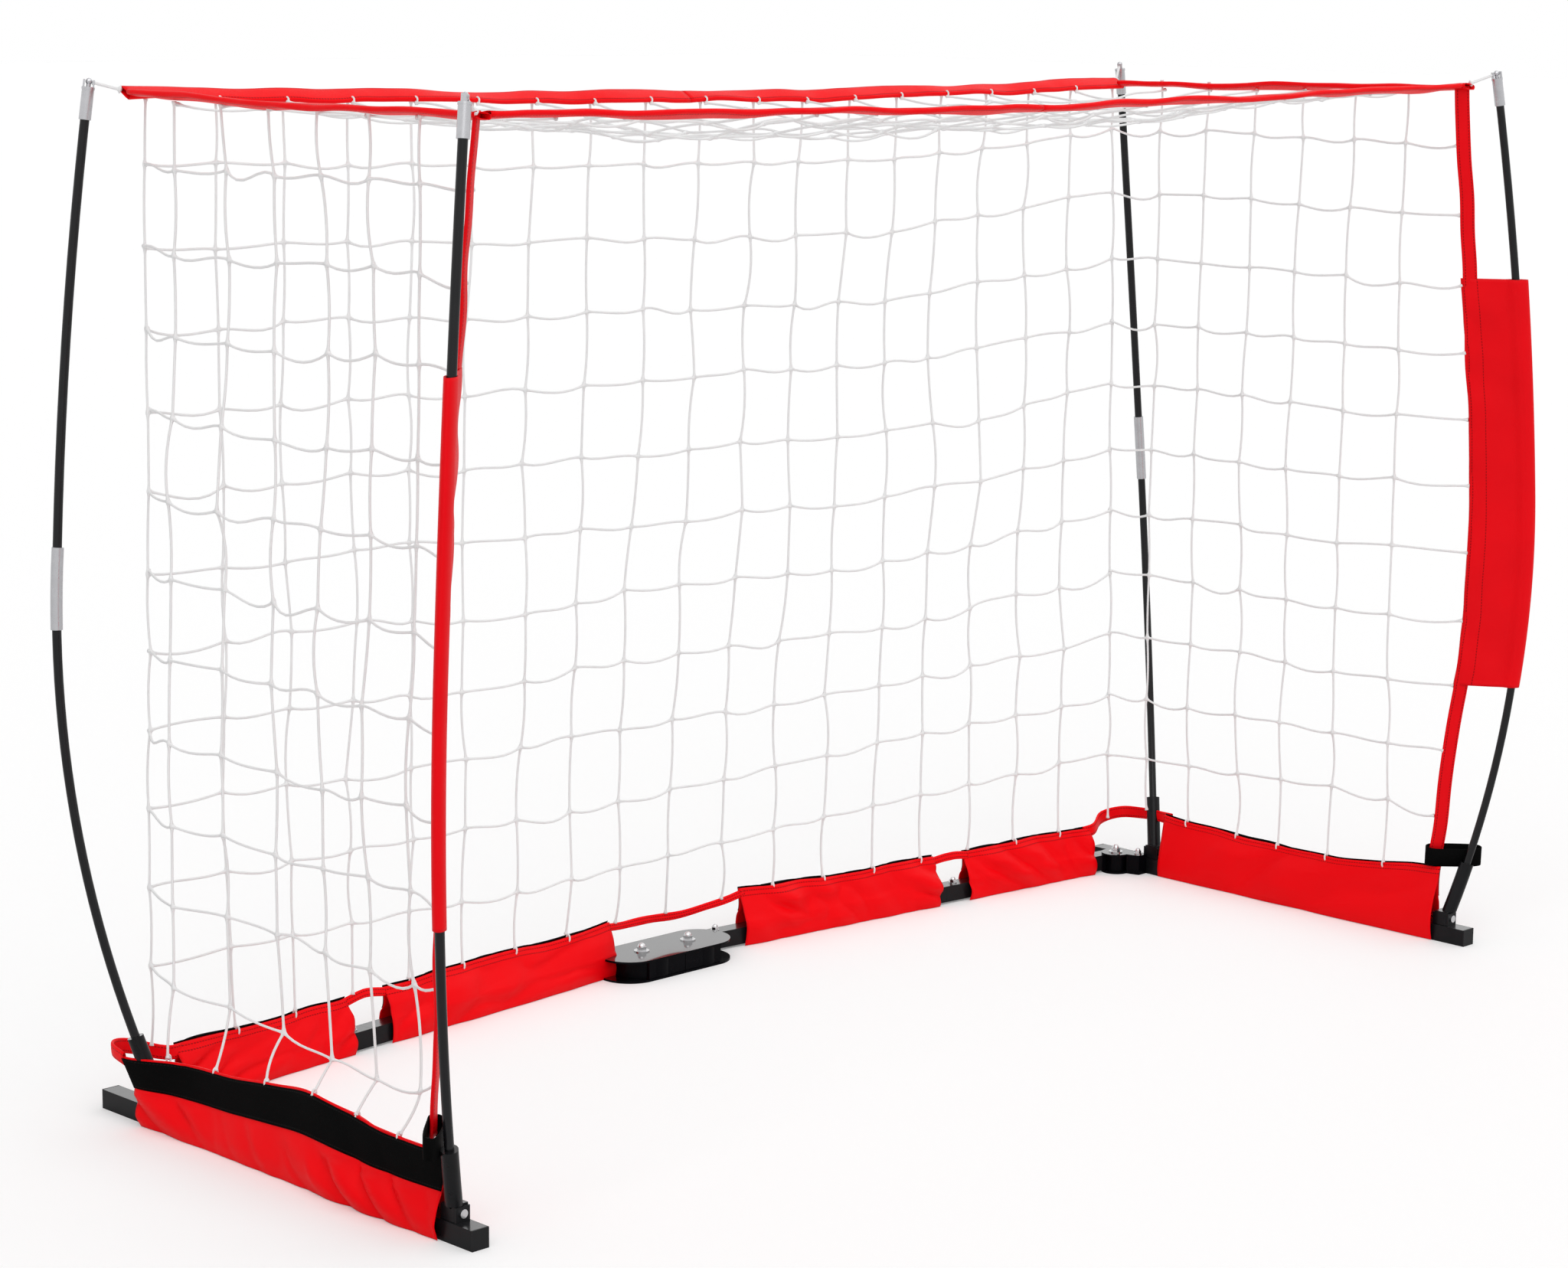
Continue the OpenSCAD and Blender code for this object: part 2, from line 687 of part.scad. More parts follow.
// The front post band, which widens to a pocket round the pole
module front_post(s) {
    grip = pocket_w - pocket_t / 2;
    h0 = pocket_low - tube;
    h1 = pocket_high - tube;
    top_h = net_high - tube;
    free = pole_r + play;
    over = pole_r + pin_fit + sleeve_wall + 2 * play;
    over_low = ferrule_h - ferrule_len / 2 - 10;
    over_high = ferrule_h + ferrule_len / 2 + 10;
    down = [for (i = [0:pocket_steps]) h1 + (h0 - h1) * i / pocket_steps];
    up = [for (i = [0:pocket_steps]) down[pocket_steps - i]];
    module edge(half_w, thick) {
        translate([0, thick / 2, 0]) rotate([90, 0, 0]) linear_extrude(thick)
            polygon(concat([for (h = down) [out_at(h) + half_w, h]], [for (h = up) [out_at(h) - half_w, h]]));
    }
    color("red") half(s) on_pole(front_foot_y, -front_rake) difference() {
        union() {
            translate([0, post_t / 2, 0]) rotate([90, 0, 0]) linear_extrude(post_t) polygon(concat(
                [[post_top_x, top_h], [post_top_x + post_w, top_h]],
                [[out_at(h1) - grip + post_w, h1]], [for (h = down) [out_at(h), h]],
                [[out_at(h0) - grip + post_w, h0]],
                [[post_foot_x + post_w, post_foot_h], [post_foot_x, post_foot_h]],
                [for (h = up) [out_at(h) - grip, h]]));
            edge(pocket_t * crown, pocket_t);
            edge(pocket_t / 2, pocket_t * shoulder);
        }
        low_rod(h0 - cut, over_low + cut, free);
        bent(low_c, low_r, over_low, over_high) circle(r = over, $fn = 24);
        high_rod(over_high - cut, h1 + cut, free);
    }
}

// The hook-and-loop strap, a loop round the pole and the foot of the post band
module strap(s) {
    x0 = post_foot_x + strap_half - strap_t - 1.5;
    x1 = out_at(strap_mid) + strap_out;
    module loop(r) {
        for (x = [x0, x1]) translate([x, 0]) circle(r = r);
        translate([x0, -r]) square([x1 - x0, 2 * r]);
    }
    color("black") half(s) on_pole(front_foot_y, -front_rake)
        translate([0, 0, strap_z - tube]) linear_extrude(strap_w) difference() {
            loop(strap_half);
            loop(strap_half - strap_t);
        }
}

// A straight cord between two points
module cord_between(p, q) {
    d = q - p;
    translate(p) rotate([0, acos(d.z / norm(d)), atan2(d.y, d.x)]) cylinder(r = cord_w / 2, h = norm(d));
}

// The tip of a pole
function tip(y, rake) = [side_x, y, tube] + cos(atan(rake / pole_h)) * [0, rake, pole_h];

// The cords that tie the net's corners to the tip caps, which they meet from the side
module tie_cords(s) {
    reach = pole_r + pin_fit + sleeve_wall + rim + seam;
    corners = [[net_front, front_foot_y, -front_rake], [net_rear, rear_foot_y, rear_rake]];
    color("white") half(s) for (c = corners) {
        p = [net_x, c[0], net_top + band_t / 2 + cord_w / 2 + seam];
        q = tip(c[1], c[2]);
        steep = abs(q.z - p.z) / norm(q - p);
        level = [q.x - p.x, q.y - p.y, 0];
        cord_between(p, q - level / norm(level) * (reach + steep * cord_w / 2));
    }
}

hinge_plate_top();
hinge_plate_bottom();
hinge_pivots();
hem_link();
centre_knuckle(-1);  // centre_knuckle_left
centre_knuckle(1);  // centre_knuckle_right
rear_tube_inner(-1);  // rear_tube_inner_left
rear_tube_inner(1);  // rear_tube_inner_right
rear_tube_outer(-1);  // rear_tube_outer_left
rear_tube_outer(1);  // rear_tube_outer_right
rear_bolts(-1);  // rear_bolts_left
rear_bolts(1);  // rear_bolts_right
corner_knuckle(-1);  // corner_knuckle_left
corner_knuckle(1);  // corner_knuckle_right
rear_skirt(-1);  // rear_skirt_left
rear_skirt(1);  // rear_skirt_right
back_net(-1);  // back_net_left
back_net(1);  // back_net_right
rear_band(-1);  // rear_band_left
rear_band(1);  // rear_band_right
side_tube(-1);  // side_tube_left
side_tube(1);  // side_tube_right
end_plugs(-1);  // end_plugs_left
end_plugs(1);  // end_plugs_right
corner_bracket(-1);  // corner_bracket_left
corner_bracket(1);  // corner_bracket_right
corner_pivot(-1);  // corner_pivot_left
corner_pivot(1);  // corner_pivot_right
side_bolts(-1);  // side_bolts_left
side_bolts(1);  // side_bolts_right
receivers(-1);  // receivers_left
receivers(1);  // receivers_right
front_pole_lower(-1);  // front_pole_lower_left
front_pole_lower(1);  // front_pole_lower_right
front_pole_upper(-1);  // front_pole_upper_left
front_pole_upper(1);  // front_pole_upper_right
rear_pole_lower(-1);  // rear_pole_lower_left
rear_pole_lower(1);  // rear_pole_lower_right
rear_pole_upper(-1);  // rear_pole_upper_left
rear_pole_upper(1);  // rear_pole_upper_right
ferrules(-1);  // ferrules_left
ferrules(1);  // ferrules_right
tip_caps(-1);  // tip_caps_left
tip_caps(1);  // tip_caps_right
tie_cords(-1);  // tie_cords_left
tie_cords(1);  // tie_cords_right
side_skirt(-1);  // side_skirt_left
side_skirt(1);  // side_skirt_right
side_net(-1);  // side_net_left
side_net(1);  // side_net_right
side_band(-1);  // side_band_left
side_band(1);  // side_band_right
front_post(-1);  // front_post_left
front_post(1);  // front_post_right
strap(-1);  // strap_left
strap(1);  // strap_right
roof_net(-1);  // roof_net_left
roof_net(1);  // roof_net_right
front_band(-1);  // front_band_left
front_band(1);  // front_band_right
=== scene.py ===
# %% [markdown]
# A folding football goal. A square-tube base lies on the ground, four bent poles stand up from it,
# and a white net with red sewn edges hangs between the poles. The metal and plastic pieces arrive as
# finished solids, so this lesson only gives them their finishes. Everything sewn or knotted is made
# here, as surfaces worked out with numpy. It could be modelled by hand, but a formula gives the same
# cloth every time, and one number changes it.

# %% Load the frame
import math
import bpy
import numpy as np
from mathutils import Matrix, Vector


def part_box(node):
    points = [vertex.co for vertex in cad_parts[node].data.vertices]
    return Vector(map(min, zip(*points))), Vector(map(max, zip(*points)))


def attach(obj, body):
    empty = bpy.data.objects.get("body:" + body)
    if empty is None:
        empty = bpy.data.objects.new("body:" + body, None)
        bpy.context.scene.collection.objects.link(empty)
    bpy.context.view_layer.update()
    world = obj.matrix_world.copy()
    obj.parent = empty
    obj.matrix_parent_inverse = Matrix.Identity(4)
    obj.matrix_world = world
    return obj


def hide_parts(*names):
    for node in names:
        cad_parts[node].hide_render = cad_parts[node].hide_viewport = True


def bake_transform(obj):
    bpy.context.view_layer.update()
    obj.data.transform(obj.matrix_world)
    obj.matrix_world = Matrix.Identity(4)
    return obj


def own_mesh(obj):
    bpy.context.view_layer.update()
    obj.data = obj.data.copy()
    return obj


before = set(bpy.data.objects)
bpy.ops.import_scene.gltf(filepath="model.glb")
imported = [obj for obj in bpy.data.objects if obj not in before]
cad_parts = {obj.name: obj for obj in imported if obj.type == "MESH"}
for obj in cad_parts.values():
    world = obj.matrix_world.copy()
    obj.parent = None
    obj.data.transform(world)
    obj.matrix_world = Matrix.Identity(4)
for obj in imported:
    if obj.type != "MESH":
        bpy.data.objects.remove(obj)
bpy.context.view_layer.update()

# %% [markdown]
# The camera stands left of the goal, a little above its top, and looks down across it. Three Euler
# angles could aim it, but their order is easy to get wrong. A camera in Blender looks along its own
# minus Z. So the matrix is built from three directions at once, right, up and backward.

# %% The camera
YAW, PITCH, ROLL = 0.784453, 0.180283, 0.010671
EYE = (-3.37256, -3.26469, 1.37434)
LENS, SENSOR = 83.75, 36.0


def camera_axes(yaw, pitch, roll):
    """Forward comes from yaw and pitch, right is level, up is right x forward, and both turn by roll."""
    forward = np.array([math.sin(yaw) * math.cos(pitch), math.cos(yaw) * math.cos(pitch), -math.sin(pitch)])
    right = np.array([math.cos(yaw), -math.sin(yaw), 0.0])
    up = np.cross(right, forward)
    c, s = math.cos(roll), math.sin(roll)
    return c * right + s * up, -s * right + c * up, -forward


def turned(axes, place):
    """The 4 x 4 matrix whose columns are three axes and a place."""
    return Matrix([[*(float(axis[i]) for axis in axes), float(place[i])] for i in range(3)] + [[0, 0, 0, 1]])


lens = bpy.data.cameras.new("view")
lens.sensor_width = SENSOR
lens.lens = LENS
eye = bpy.data.objects.new("view", lens)
eye.matrix_world = turned(camera_axes(YAW, PITCH, ROLL), EYE)
bpy.context.scene.collection.objects.link(eye)
bpy.context.scene.camera = eye
bpy.context.scene.view_settings.view_transform = "Standard"
print("camera at", EYE)

# %% [markdown]
# A surface on a grid is the base of every sewn piece. The points are one array, and so are the quads.
# A tube is the same grid closed round its section. A curve object with a bevel could make a tube too,
# but a sleeve's section turns and swells on its way, and a grid lets every ring be its own. The
# section's corners run anticlockwise about the way the path goes, so that every face looks outwards.


# %% Grids and sections
def quads(rows, columns, close_rows=False, close_columns=False):
    """Corners (i, j), (i, j+1), (i+1, j+1) and (i+1, j) of each cell of a grid, as whole arrays."""
    ids = np.arange(rows * columns).reshape(rows, columns)
    here = ids if close_rows else ids[:-1]
    after = np.roll(ids, -1, 0) if close_rows else ids[1:]
    if close_columns:
        cells = [here, np.roll(here, -1, 1), np.roll(after, -1, 1), after]
    else:
        cells = [here[:, :-1], here[:, 1:], after[:, 1:], after[:, :-1]]
    return [np.stack(cells, -1).reshape(-1, 4)]


def unit(v):
    """v over its own length."""
    return v / np.maximum(np.linalg.norm(v, axis=-1, keepdims=True), 1e-12)


def carry(path, section, up=(0.0, 0.0, 1.0)):
    """Each path point plus x of the section along side = up x tangent, and y along tangent x side."""
    tangent = unit(np.gradient(path, axis=-2))
    side = unit(np.cross(np.broadcast_to(np.asarray(up, float), tangent.shape), tangent))
    top = np.cross(tangent, side)
    section = np.asarray(section, float)
    return (path[..., None, :] + side[..., None, :] * section[..., 0:1]
            + top[..., None, :] * section[..., 1:2])


def circle(count, radius=1.0):
    """Points (cos t, sin t) times the radius, anticlockwise."""
    t = np.arange(count) * 2 * np.pi / count
    return np.stack([np.cos(t), np.sin(t)], -1) * radius


print("two rings of six make", len(quads(2, 6, close_columns=True)[0]), "quads")

# %% [markdown]
# A finished piece is one object at the origin, unturned, with its place in its points. Its UV map holds
# real lengths along and across the cloth, so that stitches keep their size wherever the piece goes.
# Cloth has a thickness. A second, inner surface could be computed, but a Solidify modifier also closes
# the rim, and centred on the sheet it needs no inside or outside.


# %% A piece from arrays
def piece(name, points, faces, finish, body, uv=None, stands_for=None, thick=0.0):
    """One mesh at the origin. A thickness above nought gives a sheet its two sides and its rim."""
    mesh = bpy.data.meshes.new(name)
    rows = [row for block in faces for row in block.tolist()]
    mesh.from_pydata(np.asarray(points, float).reshape(-1, 3).tolist(), [], rows)
    if uv is not None:
        corner = np.empty(len(mesh.loops), np.int32)
        mesh.loops.foreach_get("vertex_index", corner)
        layer = mesh.uv_layers.new(name="cut")
        layer.data.foreach_set("uv", np.asarray(uv, np.float32).reshape(-1, 2)[corner].ravel())
    mesh.polygons.foreach_set("use_smooth", np.ones(len(mesh.polygons), bool))
    mesh.materials.append(finish)
    obj = bpy.data.objects.new(name, mesh)
    bpy.context.scene.collection.objects.link(obj)
    if thick:
        wall = obj.modifiers.new("cloth", "SOLIDIFY")
        wall.thickness = thick
        wall.offset = 0.0
    if body:
        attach(obj, body)
    if stands_for:
        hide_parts(stands_for)
    return obj


print("pieces can be made")

# %% [markdown]
# Shader maths reads best as a formula. Nodes could be added and joined one by one, but then the formula
# is lost in the wiring. The class below wraps an output of a node. An expression such as
# 1 - mask * 0.3 then adds the Math nodes that it needs.


# %% Arithmetic on sockets
class Wire:
    """An output socket that takes part in arithmetic."""

    def __init__(self, finish, socket):
        self.finish, self.socket = finish, socket

    def math(self, operation, *others):
        """A Math node whose first socket is this wire."""
        values = dict(enumerate([self, *others]))
        return self.finish.node("ShaderNodeMath", {"operation": operation}, values)

    def __add__(self, other):
        return self.math("ADD", other)

    def __sub__(self, other):
        return self.math("SUBTRACT", other)

    def __mul__(self, other):
        return self.math("MULTIPLY", other)

    def __rsub__(self, other):
        """A value minus this wire, as in 1 - mask."""
        return self * -1.0 + other

    __radd__, __rmul__ = __add__, __mul__

    def sin(self):
        """The sine of the value, in radians."""
        return self.math("SINE")

    def size(self):
        """The value without its sign."""
        return self.math("ABSOLUTE")

    def above(self, edge):
        """1 where the value is greater than the edge, and 0 elsewhere."""
        return self.math("GREATER_THAN", edge)

    def below(self, edge):
        """1 where the value is less than the edge, and 0 elsewhere."""
        return self.math("LESS_THAN", edge)


print("sockets take part in sums")

# %% [markdown]
# A material here is one Principled shader. What stays the same all over goes straight on a socket, and
# what changes over the surface is a wire into it. One method adds any other kind of node, with its
# settings first and its sockets after them, because some sockets only exist once a setting is made.


# %% A finish
class Finish:
    """A material with one Principled shader, fed by expressions."""

    def __init__(self, name, colour, roughness, **fixed):
        self.material = bpy.data.materials.new(name)
        self.material.use_nodes = True
        self.tree = self.material.node_tree
        self.tree.nodes.clear()
        self.shader = self.tree.nodes.new("ShaderNodeBsdfPrincipled")
        out = self.tree.nodes.new("ShaderNodeOutputMaterial")
        self.tree.links.new(self.shader.outputs[0], out.inputs[0])
        self.colour = (*colour, 1.0)
        self.feed("Base Color", self.colour)
        self.feed("Roughness", roughness)
        for socket, value in fixed.items():
            self.feed(socket.replace("_", " "), value)
        self.material.diffuse_color = self.colour

    def put(self, socket, value):
        """A wire is linked to the socket, and a plain value is set on it."""
        if isinstance(value, Wire):
            self.tree.links.new(value.socket, socket)
        else:
            socket.default_value = value

    def node(self, kind, settings=None, values=None, out=0):
        """Any other node: its settings, then what goes into its sockets, and one output as a wire."""
        made = self.tree.nodes.new(kind)
        for key, value in (settings or {}).items():
            setattr(made, key, value)
        for key, value in (values or {}).items():
            self.put(made.inputs[key], value)
        return Wire(self, made.outputs[out])

    def feed(self, socket, value):
        """A wire or a plain value on a socket of the shader."""
        self.put(self.shader.inputs[socket], value)

    def place(self):
        """The point's own place in metres, which moves with the piece."""
        return self.node("ShaderNodeTexCoord", out=3)

    def cut(self):
        """The piece's own UV, in metres along and across the cloth, as two numbers."""
        uv = self.node("ShaderNodeUVMap", {"uv_map": "cut"})
        return [self.node("ShaderNodeSeparateXYZ", {}, {0: uv}, out=k) for k in (0, 1)]

    def noise(self, scale, detail=3.0):
        """Soft cloudy values from 0 to 1. The scale is about the number of clouds in a metre."""
        return self.node("ShaderNodeTexNoise", {}, {"Vector": self.place(), "Scale": scale, "Detail": detail})

    def blend(self, share, first, second):
        """The first colour where the share is 0, the second where it is 1."""
        return self.node("ShaderNodeMix", {"data_type": "RGBA"}, {0: share, 6: first, 7: second}, out=2)

    def bump(self, height, depth):
        """A height of 1 stands off by the depth, in metres."""
        self.feed("Normal", self.node("ShaderNodeBump", {}, {"Height": height, "Distance": depth}))


def shade(colour, factor):
    """The colour times a factor, with its fourth number kept at one."""
    return (*[c * factor for c in colour[:3]], 1.0)


print("finish class ready")

# %% [markdown]
# The tubes, hinge blocks and receivers are powder coated in gloss black, and the rods and plugs are
# black plastic. Such a skin is never quite flat: it has a fine orange peel, and it turns a little grey
# and dull where it is rubbed. A picture of worn paint could be wrapped on, but noise has no seams. On
# the tubes and blocks the faces that lie level took the thickest coat, so only those get a glossy layer.


# %% Coated metal and plastic
RUB, PEEL = 38.0, 650.0


def coated(name, colour, roughness, peel, shine=0.16, polished_top=False, **fixed):
    """Colour and roughness follow the same rubbed patches, and the bump is the orange peel."""
    finish = Finish(name, colour, roughness, Specular_IOR_Level=shine, **fixed)
    rub = finish.noise(RUB, 4.0)
    finish.feed("Base Color", finish.blend((rub - 0.45) * 0.7, finish.colour, shade(colour, 2.6)))
    if polished_top:
        facing = finish.node("ShaderNodeTexCoord", out=1)
        finish.feed("Coat Weight", finish.node("ShaderNodeSeparateXYZ", {}, {0: facing}, out=2).above(0.7))
    finish.feed("Roughness", rub * 0.16 + (roughness - 0.08))
    finish.bump(finish.noise(PEEL, 2.0), peel)
    return finish.material


frame_black = coated("gloss_black_coat", (0.006, 0.006, 0.007), 0.3, 0.00005, polished_top=True,
                     Coat_Roughness=0.15)
hinge_black = coated("hinge_black_coat", (0.002, 0.002, 0.003), 0.2, 0.00002, shine=0.05, polished_top=True,
                     Coat_Roughness=0.06, Coat_IOR=1.85)
plug_black = coated("end_plug_plastic", (0.010, 0.010, 0.011), 0.42, 0.00005)
pole_black = coated("bent_rod_black", (0.005, 0.005, 0.006), 0.26, 0.00003, Coat_Weight=0.25)
print("coats", frame_black.name, hinge_black.name, plug_black.name, pole_black.name)

# %% [markdown]
# Bolts, ferrules and tip caps are bare steel. Polished metal shows its surroundings, so what tells it
# from a mirror is a faint smear, in its colour and in its roughness together.


# %% Bright metal
def bright(name, colour, roughness, grain):
    """Colour and roughness follow the same smears, and the bump is a grain too fine to see singly."""
    finish = Finish(name, colour, roughness, Metallic=1.0)
    smear = finish.noise(90.0, 4.0)
    finish.feed("Base Color", finish.blend(smear, finish.colour, shade(colour, 0.82)))
    finish.feed("Roughness", smear * 0.14 + (roughness - 0.07))
    finish.bump(finish.noise(900.0, 1.0), grain)
    return finish.material


bolt_steel = bright("bolt_bright_steel", (0.70, 0.70, 0.71), 0.18, 0.00001)
ferrule_steel = bright("ferrule_steel", (0.56, 0.56, 0.58), 0.27, 0.00001)
print("metals", bolt_steel.name, ferrule_steel.name)

# %% [markdown]
# The red cloth is a coated nylon plain weave. Threads go over and under each other, so its height is
# the product of two sines, one along the cloth and one across it. Real threads as geometry would be
# millions of faces for what nobody sees. Stitch rows run close to the edges: each stitch is a short
# dash that stands on a sunken line.


# %% Woven cloth
STITCH, STITCH_LINE = 0.0042, 0.0007


def woven(name, colour, roughness, thread, depth, rows=(), stitch=None, shine=0.09, wear_and_shade=0.12):
    """Weave height = sin(along) sin(across) / 2. A row adds a groove, with dashes where a sine is high."""
    finish = Finish(name, colour, roughness, Specular_IOR_Level=shine)
    along, across = finish.cut()
    turn = 2 * math.pi / thread
    patch = finish.noise(14.0, 4.0)
    # Noise patches darken the colour: random tone on every cloth, and on the pouch and post cloth, where they
    # are made stronger, painted shade as well.
    tone = finish.blend((patch - 0.35) * (2.0 * wear_and_shade), finish.colour, shade(colour, 0.72))
    height = (along * turn).sin() * (across * turn).sin() * 0.5
    for row in rows:
        line = (across - row).size().below(STITCH_LINE)
        mark = line * (along * (2 * math.pi / STITCH)).sin().above(-0.55)
        tone = finish.blend(mark, tone, stitch or shade(colour, 0.45))
        height = height - line * 0.9 + mark * 1.6
    finish.feed("Base Color", tone)
    finish.feed("Roughness", patch * 0.2 + (roughness - 0.1))
    finish.bump(height, depth)
    return finish.material


RED = (0.97, 0.0, 0.004)
BLACK = (0.002, 0.002, 0.002)
red_skirt = woven("red_skirt_cloth", RED, 0.42, 0.0011, 0.00012, rows=(0.004, 0.010))
red_band = woven("red_band_cloth", RED, 0.42, 0.0011, 0.0001, rows=(0.003,))
# The pouch and post cloth has stronger dark patches: partly random tone, partly painted shade.
red_pouch = woven("red_pouch_cloth", (0.86, 0.001, 0.006), 0.42, 0.0011, 0.0001,
                  rows=(0.003, 0.023), wear_and_shade=0.3)
black_web = woven("black_webbing", BLACK, 0.7, 0.0018, 0.0002, rows=(0.003,), stitch=(0.01, 0.01, 0.01, 1.0),
                  shine=0.03)
print("cloths", red_skirt.name, red_band.name, red_pouch.name, black_web.name)

# %% [markdown]
# The net is braided polyester cord, white with a little grey in its hollows. The braid is finer than
# the eye sees from where the camera stands, so it is only a bump, and the grey is a soft noise.


# %% Net cord
def cord_finish():
    """White to pale grey by a soft noise, with diagonal bands as the braid."""
    finish = Finish("white_net_cord", (0.92, 0.92, 0.92), 0.62)
    dust = finish.noise(22.0, 4.0)
    finish.feed("Base Color", finish.blend((dust - 0.4) * 0.9, finish.colour, (0.78, 0.78, 0.79, 1.0)))
    finish.feed("Roughness", dust * 0.2 + 0.52)
    braid = finish.node("ShaderNodeTexWave", {"wave_type": "BANDS", "bands_direction": "DIAGONAL"},
                        {"Vector": finish.place(), "Scale": 260.0, "Distortion": 1.5}, out=1)
    finish.bump(braid, 0.0003)
    return finish.material


net_cord = cord_finish()
print("materials", len(bpy.data.materials))

# %% [markdown]
# Each solid that stays visible takes one of these finishes in place of its plain colour. The name of
# a node begins with the name of its kind, so a short table is enough.

# %% Finish the solids
KINDS = {"hinge_plate": hinge_black, "hinge_pivots": bolt_steel, "centre_knuckle": hinge_black,
         "corner_knuckle": hinge_black, "corner_bracket": hinge_black, "rear_tube": frame_black,
         "side_tube": frame_black, "receivers": frame_black, "end_plugs": plug_black,
         "rear_bolts": bolt_steel, "side_bolts": bolt_steel, "corner_pivot": bolt_steel,
         "front_pole": pole_black, "rear_pole": pole_black, "ferrules": ferrule_steel,
         "tip_caps": ferrule_steel}
dressed = 0
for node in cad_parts:
    for kind, material in KINDS.items():
        if node.startswith(kind):
            solid = bpy.data.objects[node]
            solid.data.materials.clear()
            solid.data.materials.append(material)
            dressed += 1
print("solids finished", dressed)

# %% [markdown]
# These few sizes are the base's own: where the tubes begin, how far apart the sides are, and how the
# rear bar leans forward toward its ends. Each sewn piece could have its own coordinates, but then a
# change in the base would leave them behind, so all of them are placed from here.

# %% The base under the sewn pieces
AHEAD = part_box("side_tube_right")[0][1]
SIDE_X = 0.928
TUBE = 0.024
SWEEP = math.radians(5.4)
PIVOT = np.array([0.044, AHEAD + 0.700])
BAR_BACK = 0.027
SIDES = (("left", -1), ("right", 1))
AWAY = np.array([math.cos(SWEEP), -math.sin(SWEEP)])
BEHIND = np.array([math.sin(SWEEP), math.cos(SWEEP)])


def bar_point(u, across=0.0):
    """A point of the right rear bar in plan: pivot + u * away + (back + across) * behind."""
    u, across = np.broadcast_arrays(np.asarray(u, float), np.asarray(across, float))
    return PIVOT + u[..., None] * AWAY + (BAR_BACK + across)[..., None] * BEHIND


def bar_y(x):
    """y of the rear bar's middle line at a distance x from the goal's middle."""
    return PIVOT[1] + BAR_BACK / math.cos(SWEEP) - (np.abs(x) - PIVOT[0]) * math.tan(SWEEP)


def bar_u(x):
    """The distance along the bar from its pivot to where it is x from the goal's middle."""
    return (x - PIVOT[0] - BAR_BACK * BEHIND[0]) / AWAY[0]


print("tubes begin at y", round(AHEAD, 4), "rear bar at the middle", round(float(bar_y(0.0)), 4))

# %% [markdown]
# The net hangs as a box between the poles. Its long top edges are held only at their ends, so they dip
# a little. A chain's curve would be the same on both halves, but a real edge is pulled unevenly by the
# nets sewn to it, so the dip is read from a few measured places.

# %% The top of the net
NET_X, NET_TOP = 0.889, 1.224
NET_FRONT, NET_REAR = AHEAD + 0.046, AHEAD + 0.668
DIP = {"front": ((-0.889, -0.45, 0.0, 0.5, 0.889), (-0.004, -0.009, -0.013, -0.006, 0.0)),
       "rear": ((-0.889, -0.35, 0.15, 0.75, 0.889), (0.0, -0.013, -0.021, -0.016, -0.014))}


def dip(x, row):
    """How far the front or the rear top edge is off its straight line, in straight spans between places."""
    return np.interp(x, *DIP[row])


print("deepest dip", min(DIP["rear"][1]))

# %% [markdown]
# A pole is two arcs that meet in line. Its bow lies in one upright plane, turned away from the goal,
# and leaning with the pole. The pouch, the strap and the post follow the front pole. They could be
# fitted to its mesh, but the same two arcs are simple to work out, and then everything beside the pole
# is a distance out from it and a distance off its plane.

# %% The bend of a pole
POLE_H, POLE_BOW, BOW_H, FERRULE_H, TURN = 1.211, 0.086, 0.500, 0.632, math.radians(36)
FRONT_FOOT, REAR_FOOT = (AHEAD + 0.041, -0.026), (AHEAD + 0.582, 0.112)
LOW_R = (BOW_H**2 + POLE_BOW**2) / (2 * POLE_BOW)
JOIN_A = math.asin((FERRULE_H - BOW_H) / LOW_R)
JOIN = np.array([POLE_BOW - LOW_R + LOW_R * math.cos(JOIN_A), FERRULE_H])
HALF_TURN = math.atan(JOIN[0] / (POLE_H - FERRULE_H)) - JOIN_A
HIGH_R = math.hypot(JOIN[0], POLE_H - FERRULE_H) / (2 * math.sin(HALF_TURN))
HIGH_C = JOIN - HIGH_R * np.array([math.cos(JOIN_A), math.sin(JOIN_A)])


def out_at(h):
    """How far a pole is from its chord at height h: a circle's height over its chord, for each arc."""
    h = np.asarray(h, float)
    low = POLE_BOW - LOW_R + np.sqrt(LOW_R**2 - (np.minimum(h, FERRULE_H) - BOW_H) ** 2)
    high = HIGH_C[0] + np.sqrt(HIGH_R**2 - (h - HIGH_C[1]) ** 2)
    return np.where(h < FERRULE_H, low, high)


def in_bow(side, foot, out, h, off=0.0):
    """A point of a pole's bow plane: out from the chord, h along it and off across the plane."""
    out, h, off = np.broadcast_arrays(np.asarray(out, float), np.asarray(h, float), np.asarray(off, float))
    turn = -TURN if foot[1] < 0 else TURN
    x = out * math.cos(turn) - off * math.sin(turn)
    y = out * math.sin(turn) + off * math.cos(turn)
    lean = math.atan(foot[1] / POLE_H)
    y, z = y * math.cos(lean) + h * math.sin(lean), h * math.cos(lean) - y * math.sin(lean)
    return np.stack([side * (SIDE_X + x), foot[0] + y, TUBE + z], -1)


print("front tip", in_bow(1, FRONT_FOOT, 0.0, POLE_H).round(3))

# %% [markdown]
# The post is the sewn strip that closes the net's front edge. It runs down the pouch's edge, and on to
# the skirt. The side net is sewn to it, so its line is settled before the nets are made.

# %% The line of the post
POUCH_LOW, POUCH_HIGH = 0.374 - TUBE, 0.958 - TUBE
POUCH_W, POUCH_TAPER = 0.0800, 0.0055
POST_LOW, POST_HIGH, POST_W = 0.090, NET_TOP - TUBE + 0.001, 0.0205
POST_FOOT, POST_HEAD = -0.0113, -0.050
POST_OFF = (0.0275, 0.0190, 0.0100, 0.0)


def pouch_width(h):
    """A little wider at the bottom than at the top."""
    return POUCH_W - POUCH_TAPER * np.clip((h - POUCH_LOW) / (POUCH_HIGH - POUCH_LOW), 0, 1)


